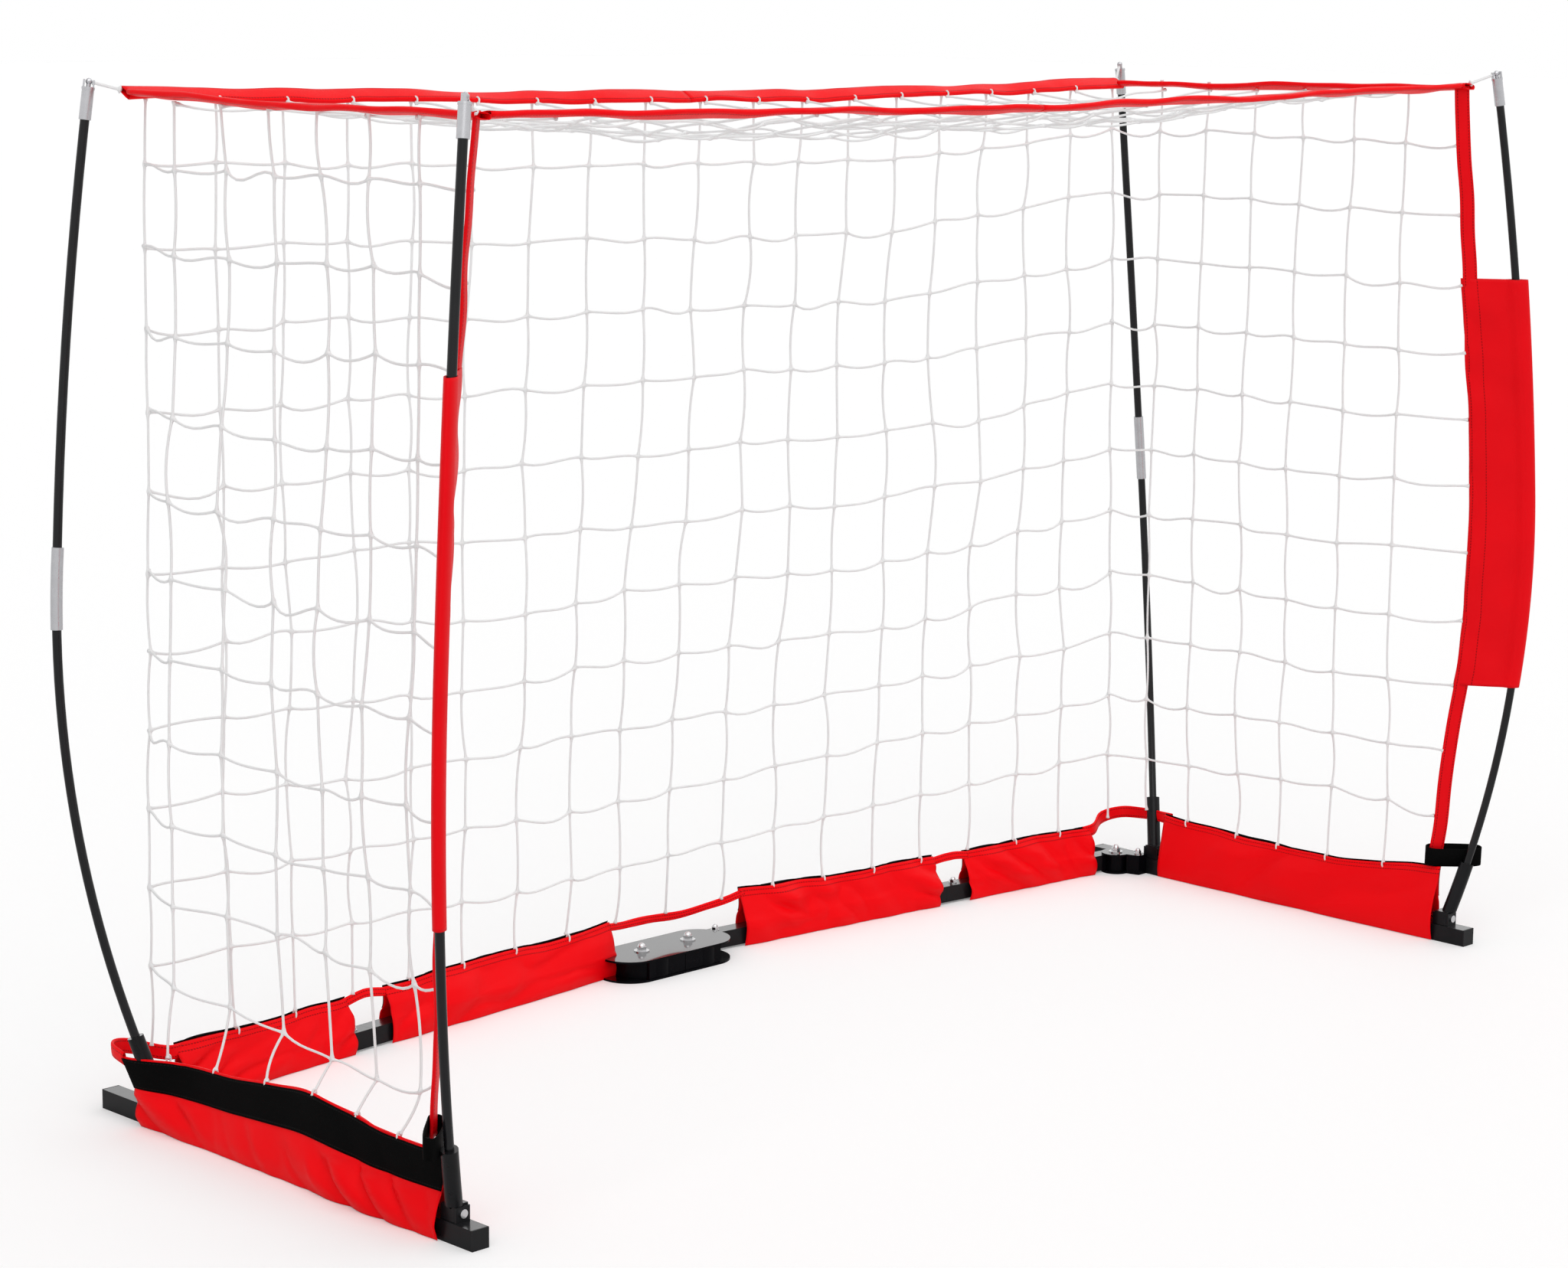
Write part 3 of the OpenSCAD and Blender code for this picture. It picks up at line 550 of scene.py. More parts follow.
def post_line(h):
    """out and off of the post's middle: along the pouch's edge, and straight above and below the pouch."""
    h = np.asarray(h, float)
    edge = out_at(h) - pouch_width(h) + POST_W / 2
    marks = np.array([POST_LOW, POUCH_LOW, POUCH_HIGH, POST_HIGH])
    joins = out_at(marks) - pouch_width(marks) + POST_W / 2
    straight = np.interp(h, marks, [POST_FOOT, joins[1], joins[2], POST_HEAD])
    beside = (h > POUCH_LOW) & (h < POUCH_HIGH)
    return np.where(beside, edge, straight), np.interp(h, marks, POST_OFF)


print("the post is", round(POST_HIGH - POST_LOW, 3), "m long")

# %% [markdown]
# A net is hundreds of cords. Each could be its own curve object, but all the cords of one direction
# have the same number of rings. So they are one array of rings, and one call makes their walls and
# end faces.


# %% Many tubes at once
def tube_mesh(rings):
    """Rings (cords, n, k, 3) to points and faces: quads round each tube and one flat face at each end."""
    cords, n, k = rings.shape[:3]
    ids = np.arange(cords * n * k).reshape(cords, n, k)
    walls = quads(n, k, close_columns=True)[0][None] + ids[:, :1, :1]
    return rings.reshape(-1, 3), [walls.reshape(-1, 4), ids[:, 0, ::-1], ids[:, -1]]


def together(parts):
    """Several (points, faces) pairs as one, with the later faces counted on from the earlier points."""
    starts = np.cumsum([0] + [len(points) for points, _ in parts])
    faces = [block + start for start, (_, blocks) in zip(starts, parts) for block in blocks]
    return np.concatenate([points for points, _ in parts]), faces


print("a tube of 2 rings has", len(tube_mesh(np.zeros((1, 2, 6, 3)))[0]), "points")

# %% [markdown]
# A knotted net is a grid of knots joined by cords. A cord between two knots hangs in a shallow arc,
# deeper where the net is slack, and every knot thickens its cords. A stiff cord also leaves one knot
# upward and reaches the next downward. So each cord is the straight line between its knots, plus an
# arc and an S-shaped wave, and its radius swells at the knots. A cloth simulation could find these
# curves, but it needs a long run and a stiffness to guess, and these two shapes are what it would show.
# The edge cords lie inside the hems and sleeves, so most of them are left out.

# %% The net's cords
CORD_R = 0.0016
KNOT, KNOT_REACH = 0.95, 0.004
SPAN = np.array([0.0, 0.025, 0.05, 0.09, 0.2, 0.35, 0.5, 0.65, 0.8, 0.91, 0.95, 0.975])
DOWN = np.array([0, 0, -1.0])


def strands(knots, arc, wave):
    """Along the second axis of the knots: line plus 4 t (1 - t) times the arc + (1 - 2 t) the wave."""
    a, b = knots[:, :-1, None], knots[:, 1:, None]
    t = SPAN[None, None, :, None]
    between = a + (b - a) * t + 4 * t * (1 - t) * (arc[:, :, None] + (1 - 2 * t) * wave[:, :, None])
    path = np.concatenate([between.reshape(len(knots), -1, 3), knots[:, -1:]], 1)
    near = np.minimum(SPAN, 1 - SPAN) * 0.1
    swell = 1 + KNOT * np.exp(-((near / KNOT_REACH) ** 2))
    return path, CORD_R * np.concatenate([np.tile(swell, knots.shape[1] - 1), swell[:1]])


def loose(shape, normal, size, sag, swing, rng):
    """Random arcs, mostly in and out of the panel and always down by the sag, and random waves."""
    arc = rng.normal(0, size, (*shape, 1)) * normal + rng.normal(0, size * 0.5, (*shape, 3))
    return arc + np.abs(rng.normal(sag, sag, (*shape, 1))) * DOWN, rng.normal(0, swing, (*shape, 1)) * DOWN


def net_mesh(knots, normal, slack, rng, columns=slice(None)):
    """Both families of cords of a panel. The knots are (columns, rows, 3), and normal is its outward way."""
    normal = np.asarray(normal, float)
    across, down = knots.shape[:2]
    level_knots = np.swapaxes(knots, 0, 1)[1:-1]
    upright, upright_r = strands(knots, *loose((across, down - 1), normal, 0.0022, 0.0, 0.0, rng))
    level, level_r = strands(level_knots, *loose((len(level_knots), across - 1), normal, 0.003, slack,
                                                 slack * 1.3, rng))
    return together([tube_mesh(carry(path, circle(6)[None, None] * radius[None, :, None, None], up=normal))
                     for path, radius in ((upright[columns], upright_r), (level, level_r))])


print("a knot is", round(CORD_R * (1 + KNOT) * 2000, 1), "mm thick")

# %% [markdown]
# The knots of a panel lie between its lower and its upper edge. Their rows are level with those of the
# panels beside it, because the net is one piece that goes round the corners. Knots also drift off their
# grid. Each one could drift alone, but a pulled knot pulls its neighbours, so the drift is averaged.

# %% Rows of knots
ROWS, ROW_STEP, TOP_ROW = 11, 0.0963, 1.143
ROW_Z = np.concatenate([[0.0], TOP_ROW - ROW_STEP * np.arange(ROWS - 1, -1, -1), [2.0]])
LOOSE = np.sin(np.linspace(0, np.pi, len(ROW_Z))) ** 0.5


def panel(low, high):
    """Knots between a lower and an upper edge, at the heights of the rows, the same on every panel."""
    v = np.clip((ROW_Z[None] - low[:, 2:]) / (high[:, 2:] - low[:, 2:]), 0, 1)[..., None]
    return low[:, None] * (1 - v) + high[:, None] * v


def wander(shape, rng, size):
    """Random offsets, softened by averaging each knot with its neighbours, so that the net moves as one."""
    rough = rng.normal(0, size, (*shape, 3))
    wide = np.pad(rough, ((1, 1), (1, 1), (0, 0)), mode="edge")
    return 0.5 * rough + 0.125 * (wide[:-2, 1:-1] + wide[2:, 1:-1] + wide[1:-1, :-2] + wide[1:-1, 2:])


print("rows of knots from", round(ROW_Z[1], 3), "to", round(ROW_Z[-2], 3))

# %% [markdown]
# The goal folds up sideways: the two rear bars swing back, and the sides stay facing forward. A piece
# that spans a corner is not cut at the corner, because it would tear open there, and its place is baked
# into its points. A piece that spans the two sides would have no room left between them, and it gets a
# mesh of its own.


# %% Cloth and net across a joint
def turning(obj):
    """The piece's place is baked into its points."""
    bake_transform(obj)


def folding(obj):
    """The piece gets a mesh of its own, not shared with any other."""
    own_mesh(obj)


# %% [markdown]
# The back panel is 18 meshes wide and 12 high. Its top edge dips, and its foot follows the rear skirt,
# which lies in a shallow V and comes down over the hinge. It is sewn on a little askew, wider to the
# left, and its rows start 8 cm under the sleeve. They sag toward the middle, but low down on the right
# the skirt holds them tighter. The two halves fold with different bars, so they are two pieces, cut at
# the middle cord.

# %% Back net
BACK_COLUMNS, DEEP = 18, 7
HALF = BACK_COLUMNS // 2
HEM_TOP = 0.075
CORNER_FOOT = np.array([0.897, AHEAD + 0.652, 0.080])
COLUMN_X = np.interp(np.arange(BACK_COLUMNS + 1), [0, 10, BACK_COLUMNS], [-0.866, 0.127, 0.880])
UNDER_TOP = 0.006
BACK_DRIFT, BACK_SLACK = 0.008, 0.003
OVER_HINGE = ((-0.1, -0.03, 0.10, 0.18, 0.30), (HEM_TOP, 0.066, 0.068, HEM_TOP + 0.004, HEM_TOP))
ROW_SAG = ((-0.87, -0.6, -0.35, -0.1, 0.2, 0.45, 0.65, 0.88),
           (0, 0.008, 0.020, 0.027, 0.032, 0.032, 0.022, 0))
low_edge = np.stack([COLUMN_X, bar_y(COLUMN_X), np.interp(COLUMN_X, *OVER_HINGE)], -1)
low_edge[[0, -1]] = CORNER_FOOT * [-1, 1, 1], CORNER_FOOT
high_edge = np.stack([COLUMN_X, np.full_like(COLUMN_X, NET_REAR),
                      NET_TOP - UNDER_TOP + dip(COLUMN_X, "rear")], -1)
rng = np.random.default_rng(7)
back_knots = panel(low_edge, high_edge)
inside = np.ones(BACK_COLUMNS + 1)
inside[[0, -1]] = 0.35
back_knots += wander(back_knots.shape[:2], rng, BACK_DRIFT) * (LOOSE[None] * inside[:, None])[..., None]
low_part = np.clip((0.5 - ROW_Z) / 0.3, 0, 1)
tighter = 1 - low_part[None] * np.interp(COLUMN_X, [0.0, 0.35], [0.0, 0.75])[:, None]
back_knots[:, 1:-1, 2] -= (np.interp(COLUMN_X, *ROW_SAG)[:, None] * tighter)[:, 1:-1]
for side, sign in SIDES:
    part = back_knots[:HALF + 1] if sign < 0 else back_knots[HALF:]
    points, faces = net_mesh(part, (0, 1, 0), BACK_SLACK, rng, columns=slice(int(sign > 0), None))
    turning(piece(f"back_netting_{side}", points, faces, net_cord, None,
                  stands_for=f"back_net_{side}"))
    print("back net", side, len(points), "points")

# %% [markdown]
# A side panel is seven meshes deep. Its front edge is sewn to the post, so it follows the bend of the
# front pole, and its foot is sewn to the side skirt, a little unevenly. The lowest row is short and
# slack: on the left it drops toward the front, and on the right the skirt hangs lower in its middle.
# The feet could be evenly spaced, but hand-tied ones never are, so each has its own place.

# %% Side nets
depth_t = np.linspace(0, 1, DEEP + 1)
SIDE_LOOSE = {"left": dict(drop=0.062, slack=0.0040, drift=0.009),
              "right": dict(drop=-0.018, slack=0.0028, drift=0.006)}
FOOT_Y = {"left": (0.056, 0.136, 0.214, 0.293, 0.380, 0.479, 0.575, 0.66),
          "right": (0.056, 0.152, 0.253, 0.345, 0.424, 0.517, 0.600, 0.66)}
HEM_AT = {"left": ((0.052, 0.165, 0.27, 0.36, 0.45, 0.604), (0.098, 0.098, 0.106, 0.105, 0.096, 0.085)),
          "right": ((0.052, 0.17, 0.31, 0.44, 0.562), (0.107, 0.094, 0.084, 0.088, 0.097))}
for side, sign in SIDES:
    rng = np.random.default_rng(11 if sign < 0 else 12)
    drop, slack, drift = SIDE_LOOSE[side].values()
    foot_y = np.array(FOOT_Y[side])
    low_edge = np.stack([np.full_like(depth_t, SIDE_X), AHEAD + foot_y, np.interp(foot_y, *HEM_AT[side])], -1)
    low_edge[-1] = CORNER_FOOT
    high_edge = np.stack([np.full_like(depth_t, NET_X), NET_FRONT + depth_t * (NET_REAR - NET_FRONT),
                          np.full_like(depth_t, NET_TOP - UNDER_TOP)], -1)
    high_edge[-1, 0] = abs(COLUMN_X[0 if sign < 0 else -1])
    knots = panel(low_edge, high_edge)
    middle = np.sin(np.pi * depth_t)[:, None]
    knots += wander(knots.shape[:2], rng, drift) * ((0.3 + middle) * LOOSE[None])[..., None] * [1, 0.5, 1]
    knots[..., 0] -= 0.012 * middle * LOOSE[None]
    swing = (np.sin(np.pi * depth_t**0.6) * (1 - 0.5 * depth_t))[:, None] * np.array([0, 1, 0.4, 0.1])
    knots[:, :4, 2] -= drop * swing * [1, 0.8, 0.5, 1]
    knots[:, :4, 0] -= drop * 0.5 * swing
    edge_h = knots[0, :, 2] - TUBE
    out, off = post_line(edge_h)
    knots[0] = in_bow(1, FRONT_FOOT, out - POST_W * 0.5, edge_h, off)
    knots[..., 0] *= sign
    points, faces = net_mesh(knots, (-sign, 0, 0), slack, rng, columns=slice(1, -1))
    piece(f"side_netting_{side}", points, faces, net_cord, f"side_{side}",
          stands_for=f"side_net_{side}")
    print("side net", side, len(points), "points")

# %% [markdown]
# The roof hangs under its own weight, between the dipping front and rear edges. Across the goal its
# sag is 1 - |u|^n, with n = 5 on the right, where it stays deep up to near the side, and n = 2.2 on the
# left, where the tie pulls harder. From front to back it is a half sine. Behind the middle that is
# raised to the power 0.65, because the roof falls faster from the rear sleeve.

# %% Roof net
ROOF_SAG = 0.031
ROOF_DRIFT, ROOF_SLACK = 0.009, 0.002
grid_x, grid_t = np.meshgrid(COLUMN_X, depth_t, indexing="ij")
rng = np.random.default_rng(21)
hang = np.abs(np.sin(np.pi * grid_t)) ** np.where(grid_t > 0.5, 0.65, 1.0)
hang = hang * (1 - np.abs(grid_x / NET_X) ** np.where(grid_x < 0, 2.2, 5.0))
roof_knots = np.stack([grid_x, NET_FRONT + 0.010 + grid_t * (NET_REAR - NET_FRONT - 0.020),
                       NET_TOP - 0.004 - 0.004 * grid_t - ROOF_SAG * hang
                       + dip(grid_x, "front") * (1 - grid_t) + dip(grid_x, "rear") * grid_t], -1)
roof_knots[[0, -1], :, 0] = [[-NET_X], [NET_X]]
roof_knots += wander(roof_knots.shape[:2], rng, ROOF_DRIFT) * np.clip(hang * 2, 0, 1)[..., None]
for side, sign in SIDES:
    part = roof_knots[:HALF + 1] if sign < 0 else roof_knots[HALF:]
    points, faces = net_mesh(part, (0, 0, 1), ROOF_SLACK, rng, columns=slice(1, -1 if sign > 0 else None))
    folding(piece(f"roof_netting_{side}", points, faces, net_cord, f"side_{side}",
                  stands_for=f"roof_net_{side}"))
    print("roof net", side, len(points), "points")

# %% [markdown]
# Sewn edges are never straight or steady. A few sines of falling length, each with a random start, are
# enough to show that. White noise would shake every point alone, and cloth does not do that.


# %% Lines and waves
def smooth_line(points, count):
    """A curve through the given points: a cubic in each span with the mean of its neighbours' slopes."""
    p = np.asarray(points, float)
    p = np.concatenate([[2 * p[0] - p[1]], p, [2 * p[-1] - p[-2]]])
    t = np.linspace(0, len(p) - 3 - 1e-9, count)
    i = t.astype(int)
    f = (t - i)[:, None]
    a, b, c, d = p[i], p[i + 1], p[i + 2], p[i + 3]
    return 0.5 * (2 * b + (c - a) * f + (2 * a - 5 * b + 4 * c - d) * f**2 + (3 * b - a - 3 * c + d) * f**3)


def lengths(line):
    """The distance along a line of points up to each of them."""
    return np.concatenate([[0.0], np.cumsum(np.linalg.norm(np.diff(line, axis=0), axis=1))])


def waves(t, rng, count, size, longest):
    """A sum of sines with random phases, each next one shorter and lower."""
    k = np.arange(1, count + 1)[:, None]
    return (size / k * np.sin(2 * np.pi * t[None] * k / longest + rng.uniform(0, 6.28, (count, 1)))).sum(0)


print("a quarter circle measures", round(float(lengths(circle(400)[:101])[-1]), 4))

# %% [markdown]
# The net's top edges run in flat sewn sleeves. A sleeve is a flattened tube of thin cloth: its
# section is a rounded strip 24 mm wide, and it bends and twists a little along its length, because
# nothing stretches it evenly. A box with bevelled edges would do for a stiff strap, but cloth is round
# at its folds and flat between them, and a superellipse has that shape.


# %% A sleeve or a ribbon
BAND_CLOTH = 0.0008


def strip_section(width, thick, count=20):
    """A superellipse, |x/a|^n + |y/b|^n = 1 with n = 3.2, so the strip has a rounded edge and a flat face."""
    t = np.arange(count) * 2 * np.pi / count
    power = 2 / 3.2
    x = np.sign(np.cos(t)) * np.abs(np.cos(t)) ** power * width / 2
    y = np.sign(np.sin(t)) * np.abs(np.sin(t)) ** power * thick / 2
    return np.stack([x, y], -1)


def band(name, points, body, rests_on, width=0.024, thick=0.007, seed=1, tilt=0.0, turn=0.12, lumps=0.0012,
         stands_for=None):
    """The section carried along a smooth line, turned by a slow wave and pinched by a quicker one."""
    rng = np.random.default_rng(seed)
    n = max(24, int(lengths(np.asarray(points, float))[-1] / 0.008))
    path = smooth_line(points, n)
    run = lengths(path)
    free = np.clip(np.minimum(run, run[-1] - run) / 0.05, 0, 1)
    path[:, 2] += waves(run, rng, 4, lumps, 0.4) * free
    section = strip_section(width, thick)
    angle = math.radians(tilt) + waves(run, rng, 3, turn, 0.5) * free
    pinch = (1 + waves(run, rng, 5, 0.06, 0.25) * free)[:, None]
    c, s = np.cos(angle)[:, None], np.sin(angle)[:, None]
    x, y = section[None, :, 0] * pinch, section[None, :, 1] * (2 - pinch)
    rings = carry(path, np.stack([x * c - y * s, x * s + y * c], -1))
    edge = width / 2 - np.abs(section[:, 0])
    uv = np.stack(np.broadcast_arrays(run[:, None], edge[None]), -1)
    obj = piece(name, rings, quads(*rings.shape[:2], close_columns=True), red_band, body, uv=uv,
                stands_for=stands_for, thick=BAND_CLOTH)
    return obj, path, angle


print("a sleeve's section measures", np.ptp(strip_section(0.024, 0.007), axis=0).round(4))

# %% [markdown]
# Where a cord of the net goes into a sleeve or a hem, it shows as a small white loop. There are dozens,
# and each is only a few millimetres wide. A torus object for each would fill the scene, so all the
# loops of a sleeve are one mesh, with a few faces to each loop.

# %% Small loops of cord
LOOP_STEPS, LOOP_SIDES = 14, 5


def ring_loops(centres, wide, high, half_wide, half_high, radius=0.0013):
    """Closed small tubes round an ellipse in the plane of two axes, one for each centre."""
    t = np.arange(LOOP_STEPS) * 2 * np.pi / LOOP_STEPS
    c, s = np.cos(t)[None, :, None], np.sin(t)[None, :, None]
    wide, high = wide[:, None], high[:, None]
    ring = centres[:, None] + wide * c * half_wide + high * s * half_high
    outward = unit(wide * c / half_wide + high * s / half_high)
    section = circle(LOOP_SIDES, radius)[None, None]
    tube = (ring[:, :, None] + outward[:, :, None] * section[..., 0:1]
            - np.cross(wide, high)[:, :, None] * section[..., 1:2])
    one = quads(LOOP_STEPS, LOOP_SIDES, close_rows=True, close_columns=True)[0]
    starts = np.arange(len(centres)) * LOOP_STEPS * LOOP_SIDES
    return tube.reshape(-1, 3), [(one[None] + starts[:, None, None]).reshape(-1, 4)]


def loops_on(name, path, angle, places):
    """Loops through the lower edge of a sleeve that runs along x, at the given x places, turned with it."""
    order = np.argsort(path[:, 0])
    centre = np.stack([places, *(np.interp(places, path[order, 0], path[order, k]) for k in (1, 2))], -1)
    turn = np.interp(places, path[order, 0], angle[order])
    way = np.sign(path[-1, 0] - path[0, 0])
    wide = np.stack([np.zeros_like(turn), way * np.cos(turn), np.sin(turn)], -1)
    high = np.stack([np.zeros_like(turn), -way * np.sin(turn), np.cos(turn)], -1)
    points, faces = ring_loops(centre - np.sign(wide[:, 1:2]) * wide * 0.0105, wide, high, 0.0036, 0.0040)
    return piece(name, points, faces, net_cord, None)


print("a loop has", LOOP_STEPS * LOOP_SIDES, "points")

# %% [markdown]
# There are six sleeves: a front and a rear half on each side, and one along each side. The roof net
# pulls the inner edge of a sleeve down, so a sleeve lies tilted, most of all behind.

# %% Sleeves round the top
for side, sign in SIDES:
    columns = COLUMN_X[1:-1][np.sign(COLUMN_X[1:-1]) == sign]
    caps = [f"tip_caps_{side}"]
    for row, y, tilt, reach in (("front", NET_FRONT, -10, 0.876), ("rear", NET_REAR, 30, 0.895)):
        body = None if row == "rear" else f"side_{side}"
        way = [(sign * x, y, NET_TOP + rise + float(dip(sign * x, row)))
               for x, rise in ((0.0, 0.0), (0.30, 0.0), (0.62, 0.0), (reach, 0.001))]
        sleeve, path, angle = band(f"{row}_sleeve_{side}", way, body, caps, seed=31 + sign + len(row),
                                   tilt=tilt * sign, stands_for=f"{row}_band_{side}")
        if row == "front":
            folding(sleeve)
        else:
            turning(sleeve)
            turning(loops_on(f"rear_sleeve_loops_{side}", path, angle, columns))
    ahead, behind = float(dip(sign * NET_X, "front")), float(dip(sign * NET_X, "rear"))
    way = [(sign * NET_X, NET_FRONT - 0.013, NET_TOP + 0.001 + ahead),
           (sign * NET_X, (NET_FRONT + NET_REAR) / 2, NET_TOP - 0.002 + (ahead + behind) / 2),
           (sign * NET_X, NET_REAR - 0.012, NET_TOP + 0.001 + behind)]
    band(f"side_sleeve_{side}", way, f"side_{side}", caps, seed=51 + sign, tilt=10,
         stands_for=f"side_band_{side}")
print("top sleeves made")

# %% [markdown]
# Cloth that is pulled by what it holds wrinkles in slanting folds. A bump could paint them, but they
# stand off by a centimetre and show against the light, so they belong in the shape.


# %% Creases
def creases(a, b, rng, size, length, slant, count=5):
    """Slanting folds: a sum of sines along ways near the slant, made sharper than they are wide."""
    total = np.zeros(np.broadcast(a, b).shape)
    for _ in range(count):
        angle = slant + rng.normal(0, 0.35)
        wave = length * rng.uniform(0.6, 1.7)
        phase = (a * math.cos(angle) + b * math.sin(angle)) * 2 * np.pi / wave + rng.uniform(0, 6.28)
        fade = 0.5 + 0.5 * np.sin(a * 2 * np.pi / (length * rng.uniform(2.5, 5)) + rng.uniform(0, 6.28))
        total += size / math.sqrt(count) * fade * np.sign(np.sin(phase)) * np.abs(np.sin(phase)) ** 0.8
    return total


print("creases ready")

# %% [markdown]
# A skirt is a sleeve of cloth round a base tube, closed above it into an upright hem. Across the tube
# its shape is one curve: down the inner face, and back up over the bulging outer face. Along the
# tube it wrinkles, mostly slantwise, where the tube pulls it. A simulation could drape it, but the hem's
# height at each place is known, and a formula keeps to it.


# %% The form of a skirt
CREASE = 0.0150
GROUND = 0.0007


def skirt_curve(height, inside=0.0145, outside=0.0160, foot=0.0008):
    """The curve across a skirt, from its inner foot over the hem to its outer foot, x across and z up."""
    return smooth_line([(-inside, foot), (-inside - 0.0012, 0.014), (-inside + 0.0004, 0.030),
                        (-inside * 0.66, height * 0.56), (-0.0035, height * 0.86), (0.0, height),
                        (0.0035, height * 0.88), (outside * 0.55, height * 0.62), (outside, 0.034),
                        (outside + 0.0028, 0.018), (outside, foot)], 72)


def skirt_form(s, base, height, rng, hem, slant, tape_low, fold, inner_fold, outer_fold):
    """The curve, stretched upward to the hem, plus creases where nothing holds it, plus a slow lean."""
    outer = np.arange(len(base)) > np.argmax(base[:, 1])
    share = np.clip(base[:, 1] / height, 0, 1)
    tall = smooth_line(np.stack(hem, -1), 200)
    tall = np.interp(s, tall[:, 0] - hem[0][0], tall[:, 1]) + waves(s, rng, 4, 0.0014, 0.35)
    z = np.maximum(base[:, 1][None] + (tall[:, None] - height) * share[None] ** 1.2, GROUND)
    taped = outer * np.clip((base[:, 1] - tape_low) / 0.006 + 1, 0, 1)
    free = np.clip(share * 3, 0, 1) * np.clip((0.95 - share) * 4, 0, 1)
    puff = np.abs(creases(s[:, None], lengths(base)[None], rng, CREASE, fold, slant))
    puff = puff * ((0.25 + 0.75 * free) * np.where(outer, outer_fold, inner_fold) * (1 - 0.9 * taped))[None]
    lean = waves(s, rng, 3, 0.0022, 0.3)
    x = base[:, 0][None] + np.sign(base[:, 0])[None] * puff
    return x + lean[:, None] * share[None] ** 2, z, tall, lean


def skirt_ends(s, base, height, short_leg, flare, bulge):
    """Along the tube, one leg cut short at both ends and the far hem run on, and the bulge outwards there."""
    outer = np.arange(len(base)) > np.argmax(base[:, 1])
    share = np.clip(base[:, 1] / height, 0, 1)
    cut = 0.009 * (1 - share**4) * (outer if short_leg > 0 else ~outer)
    along = s[:, None] + cut[None] * (1 - 2 * s / s[-1])[:, None]
    along = along + flare * ((s / s[-1]) ** 8)[:, None] * np.clip(share * 2 - 1, 0, 1)[None]
    if bulge:
        behind = 0.085 * (1 - share**3) * ~outer
        along = along - behind[None] * ((s / s[-1]) ** 6)[:, None]
    return along, bulge * np.exp(-(((s - s[-1] - 0.01) / 0.06) ** 2))[:, None] * share[None] ** 1.3


print("the curve across is", round(float(lengths(skirt_curve(0.104))[-1]), 3), "m of cloth")

# %% [markdown]
# A black tape is sewn along the top of a skirt's outer face, and holds it flat there. One leg is cut a
# little shorter than the hem. On the left side the hem runs on past the leg, toward the corner, and
# bulges outside the rear pole's receiver. The tape could be a colour on the cloth, but it is a second
# layer with an edge that shows, so it is a sheet of its own that copies part of the skirt. Both are cut
# from flat pieces, so the lesson also states the flat size.


# %% A skirt and its tape
SKIRT_CLOTH, TAPE_CLOTH = 0.0009, 0.0012
SKIRT_STEP = 0.0042


def skirt(name, place, length, height, rng, body, rests_on, stands_for, slant, hem, tape_low, tape_over,
          short_leg=1, flare=0.0, bulge=0.0, fold=0.085, inner_fold=0.4, outer_fold=1.0):
    """place(along, across, up) puts the curve on its tube. The hem is a table of places and heights."""
    s = np.linspace(0, length, max(20, int(length / SKIRT_STEP)))
    base = skirt_curve(height)
    around = lengths(base)
    top = int(np.argmax(base[:, 1]))
    x, z, tall, lean = skirt_form(s, base, height, rng, hem, slant, tape_low, fold, inner_fold, outer_fold)
    along, pushed = skirt_ends(s, base, height, short_leg, flare, bulge)
    x = x + pushed
    from_top = np.abs(around - around[top])
    uv = np.stack(np.broadcast_arrays(s[:, None], from_top[None]), -1)
    cloth = piece(name, place(along, x, z), quads(*x.shape), red_skirt, body, uv=uv,
                  stands_for=stands_for, thick=SKIRT_CLOTH)
    held = np.flatnonzero((np.arange(len(base)) >= top) & (base[:, 1] > tape_low))
    tape_x = x[:, held] + 0.0013
    tape_z = z[:, held] + tape_over * np.clip(base[held, 1] / height, 0, 1)[None] ** 6
    edge = np.minimum(from_top[held], from_top[held].max() - from_top[held])
    uv = np.stack(np.broadcast_arrays(s[:, None], edge[None]), -1)
    tape = piece(f"{name}_tape", place(along[:, held], tape_x, tape_z), quads(*tape_x.shape), black_web, body,
                 uv=uv, thick=TAPE_CLOTH)
    return s, tall, lean


def hem_loops(name, place, s, tall, lean, at, body):
    """A small loop of cord through the hem, on its inner side, under each upright cord of the net."""
    x, z = np.interp(at, s, lean) - 0.0012, np.interp(at, s, tall) - 0.0010
    centres = place(at, x, z)
    wide = unit(place(at, x + 0.01, z) - centres)
    high = np.broadcast_to(np.array([0.0, 0.0, 1.0]), wide.shape)
    points, faces = ring_loops(centres, wide, high, 0.0030, 0.0052, radius=0.0014)
    return piece(name, points, faces, net_cord, body)


print("skirts can be sewn")

# %% [markdown]
# A side skirt runs along its side tube. The two could be mirrored copies, but each was pulled its own
# way when it was tied on: the left one is short on its inner leg and flares at the corner, and the
# right one wrinkles in longer folds.

# %% Side skirts
SIDE_HEM = 0.104
SIDE_SHAPE = {"left": dict(tape_low=0.057, tape_over=-0.002, short_leg=-1, flare=0.020, bulge=0.033,
                           fold=0.105, slant=1.0),
              "right": dict(tape_low=0.055, tape_over=0.0022, fold=0.150, slant=0.9, inner_fold=1.0)}


def side_place(sign, start):
    """Along the side tube from its front, with plus x across it pointing outwards."""
    def place(along, across, up):
        return np.stack([sign * (SIDE_X + across), AHEAD + start + along, up], -1)
    return place


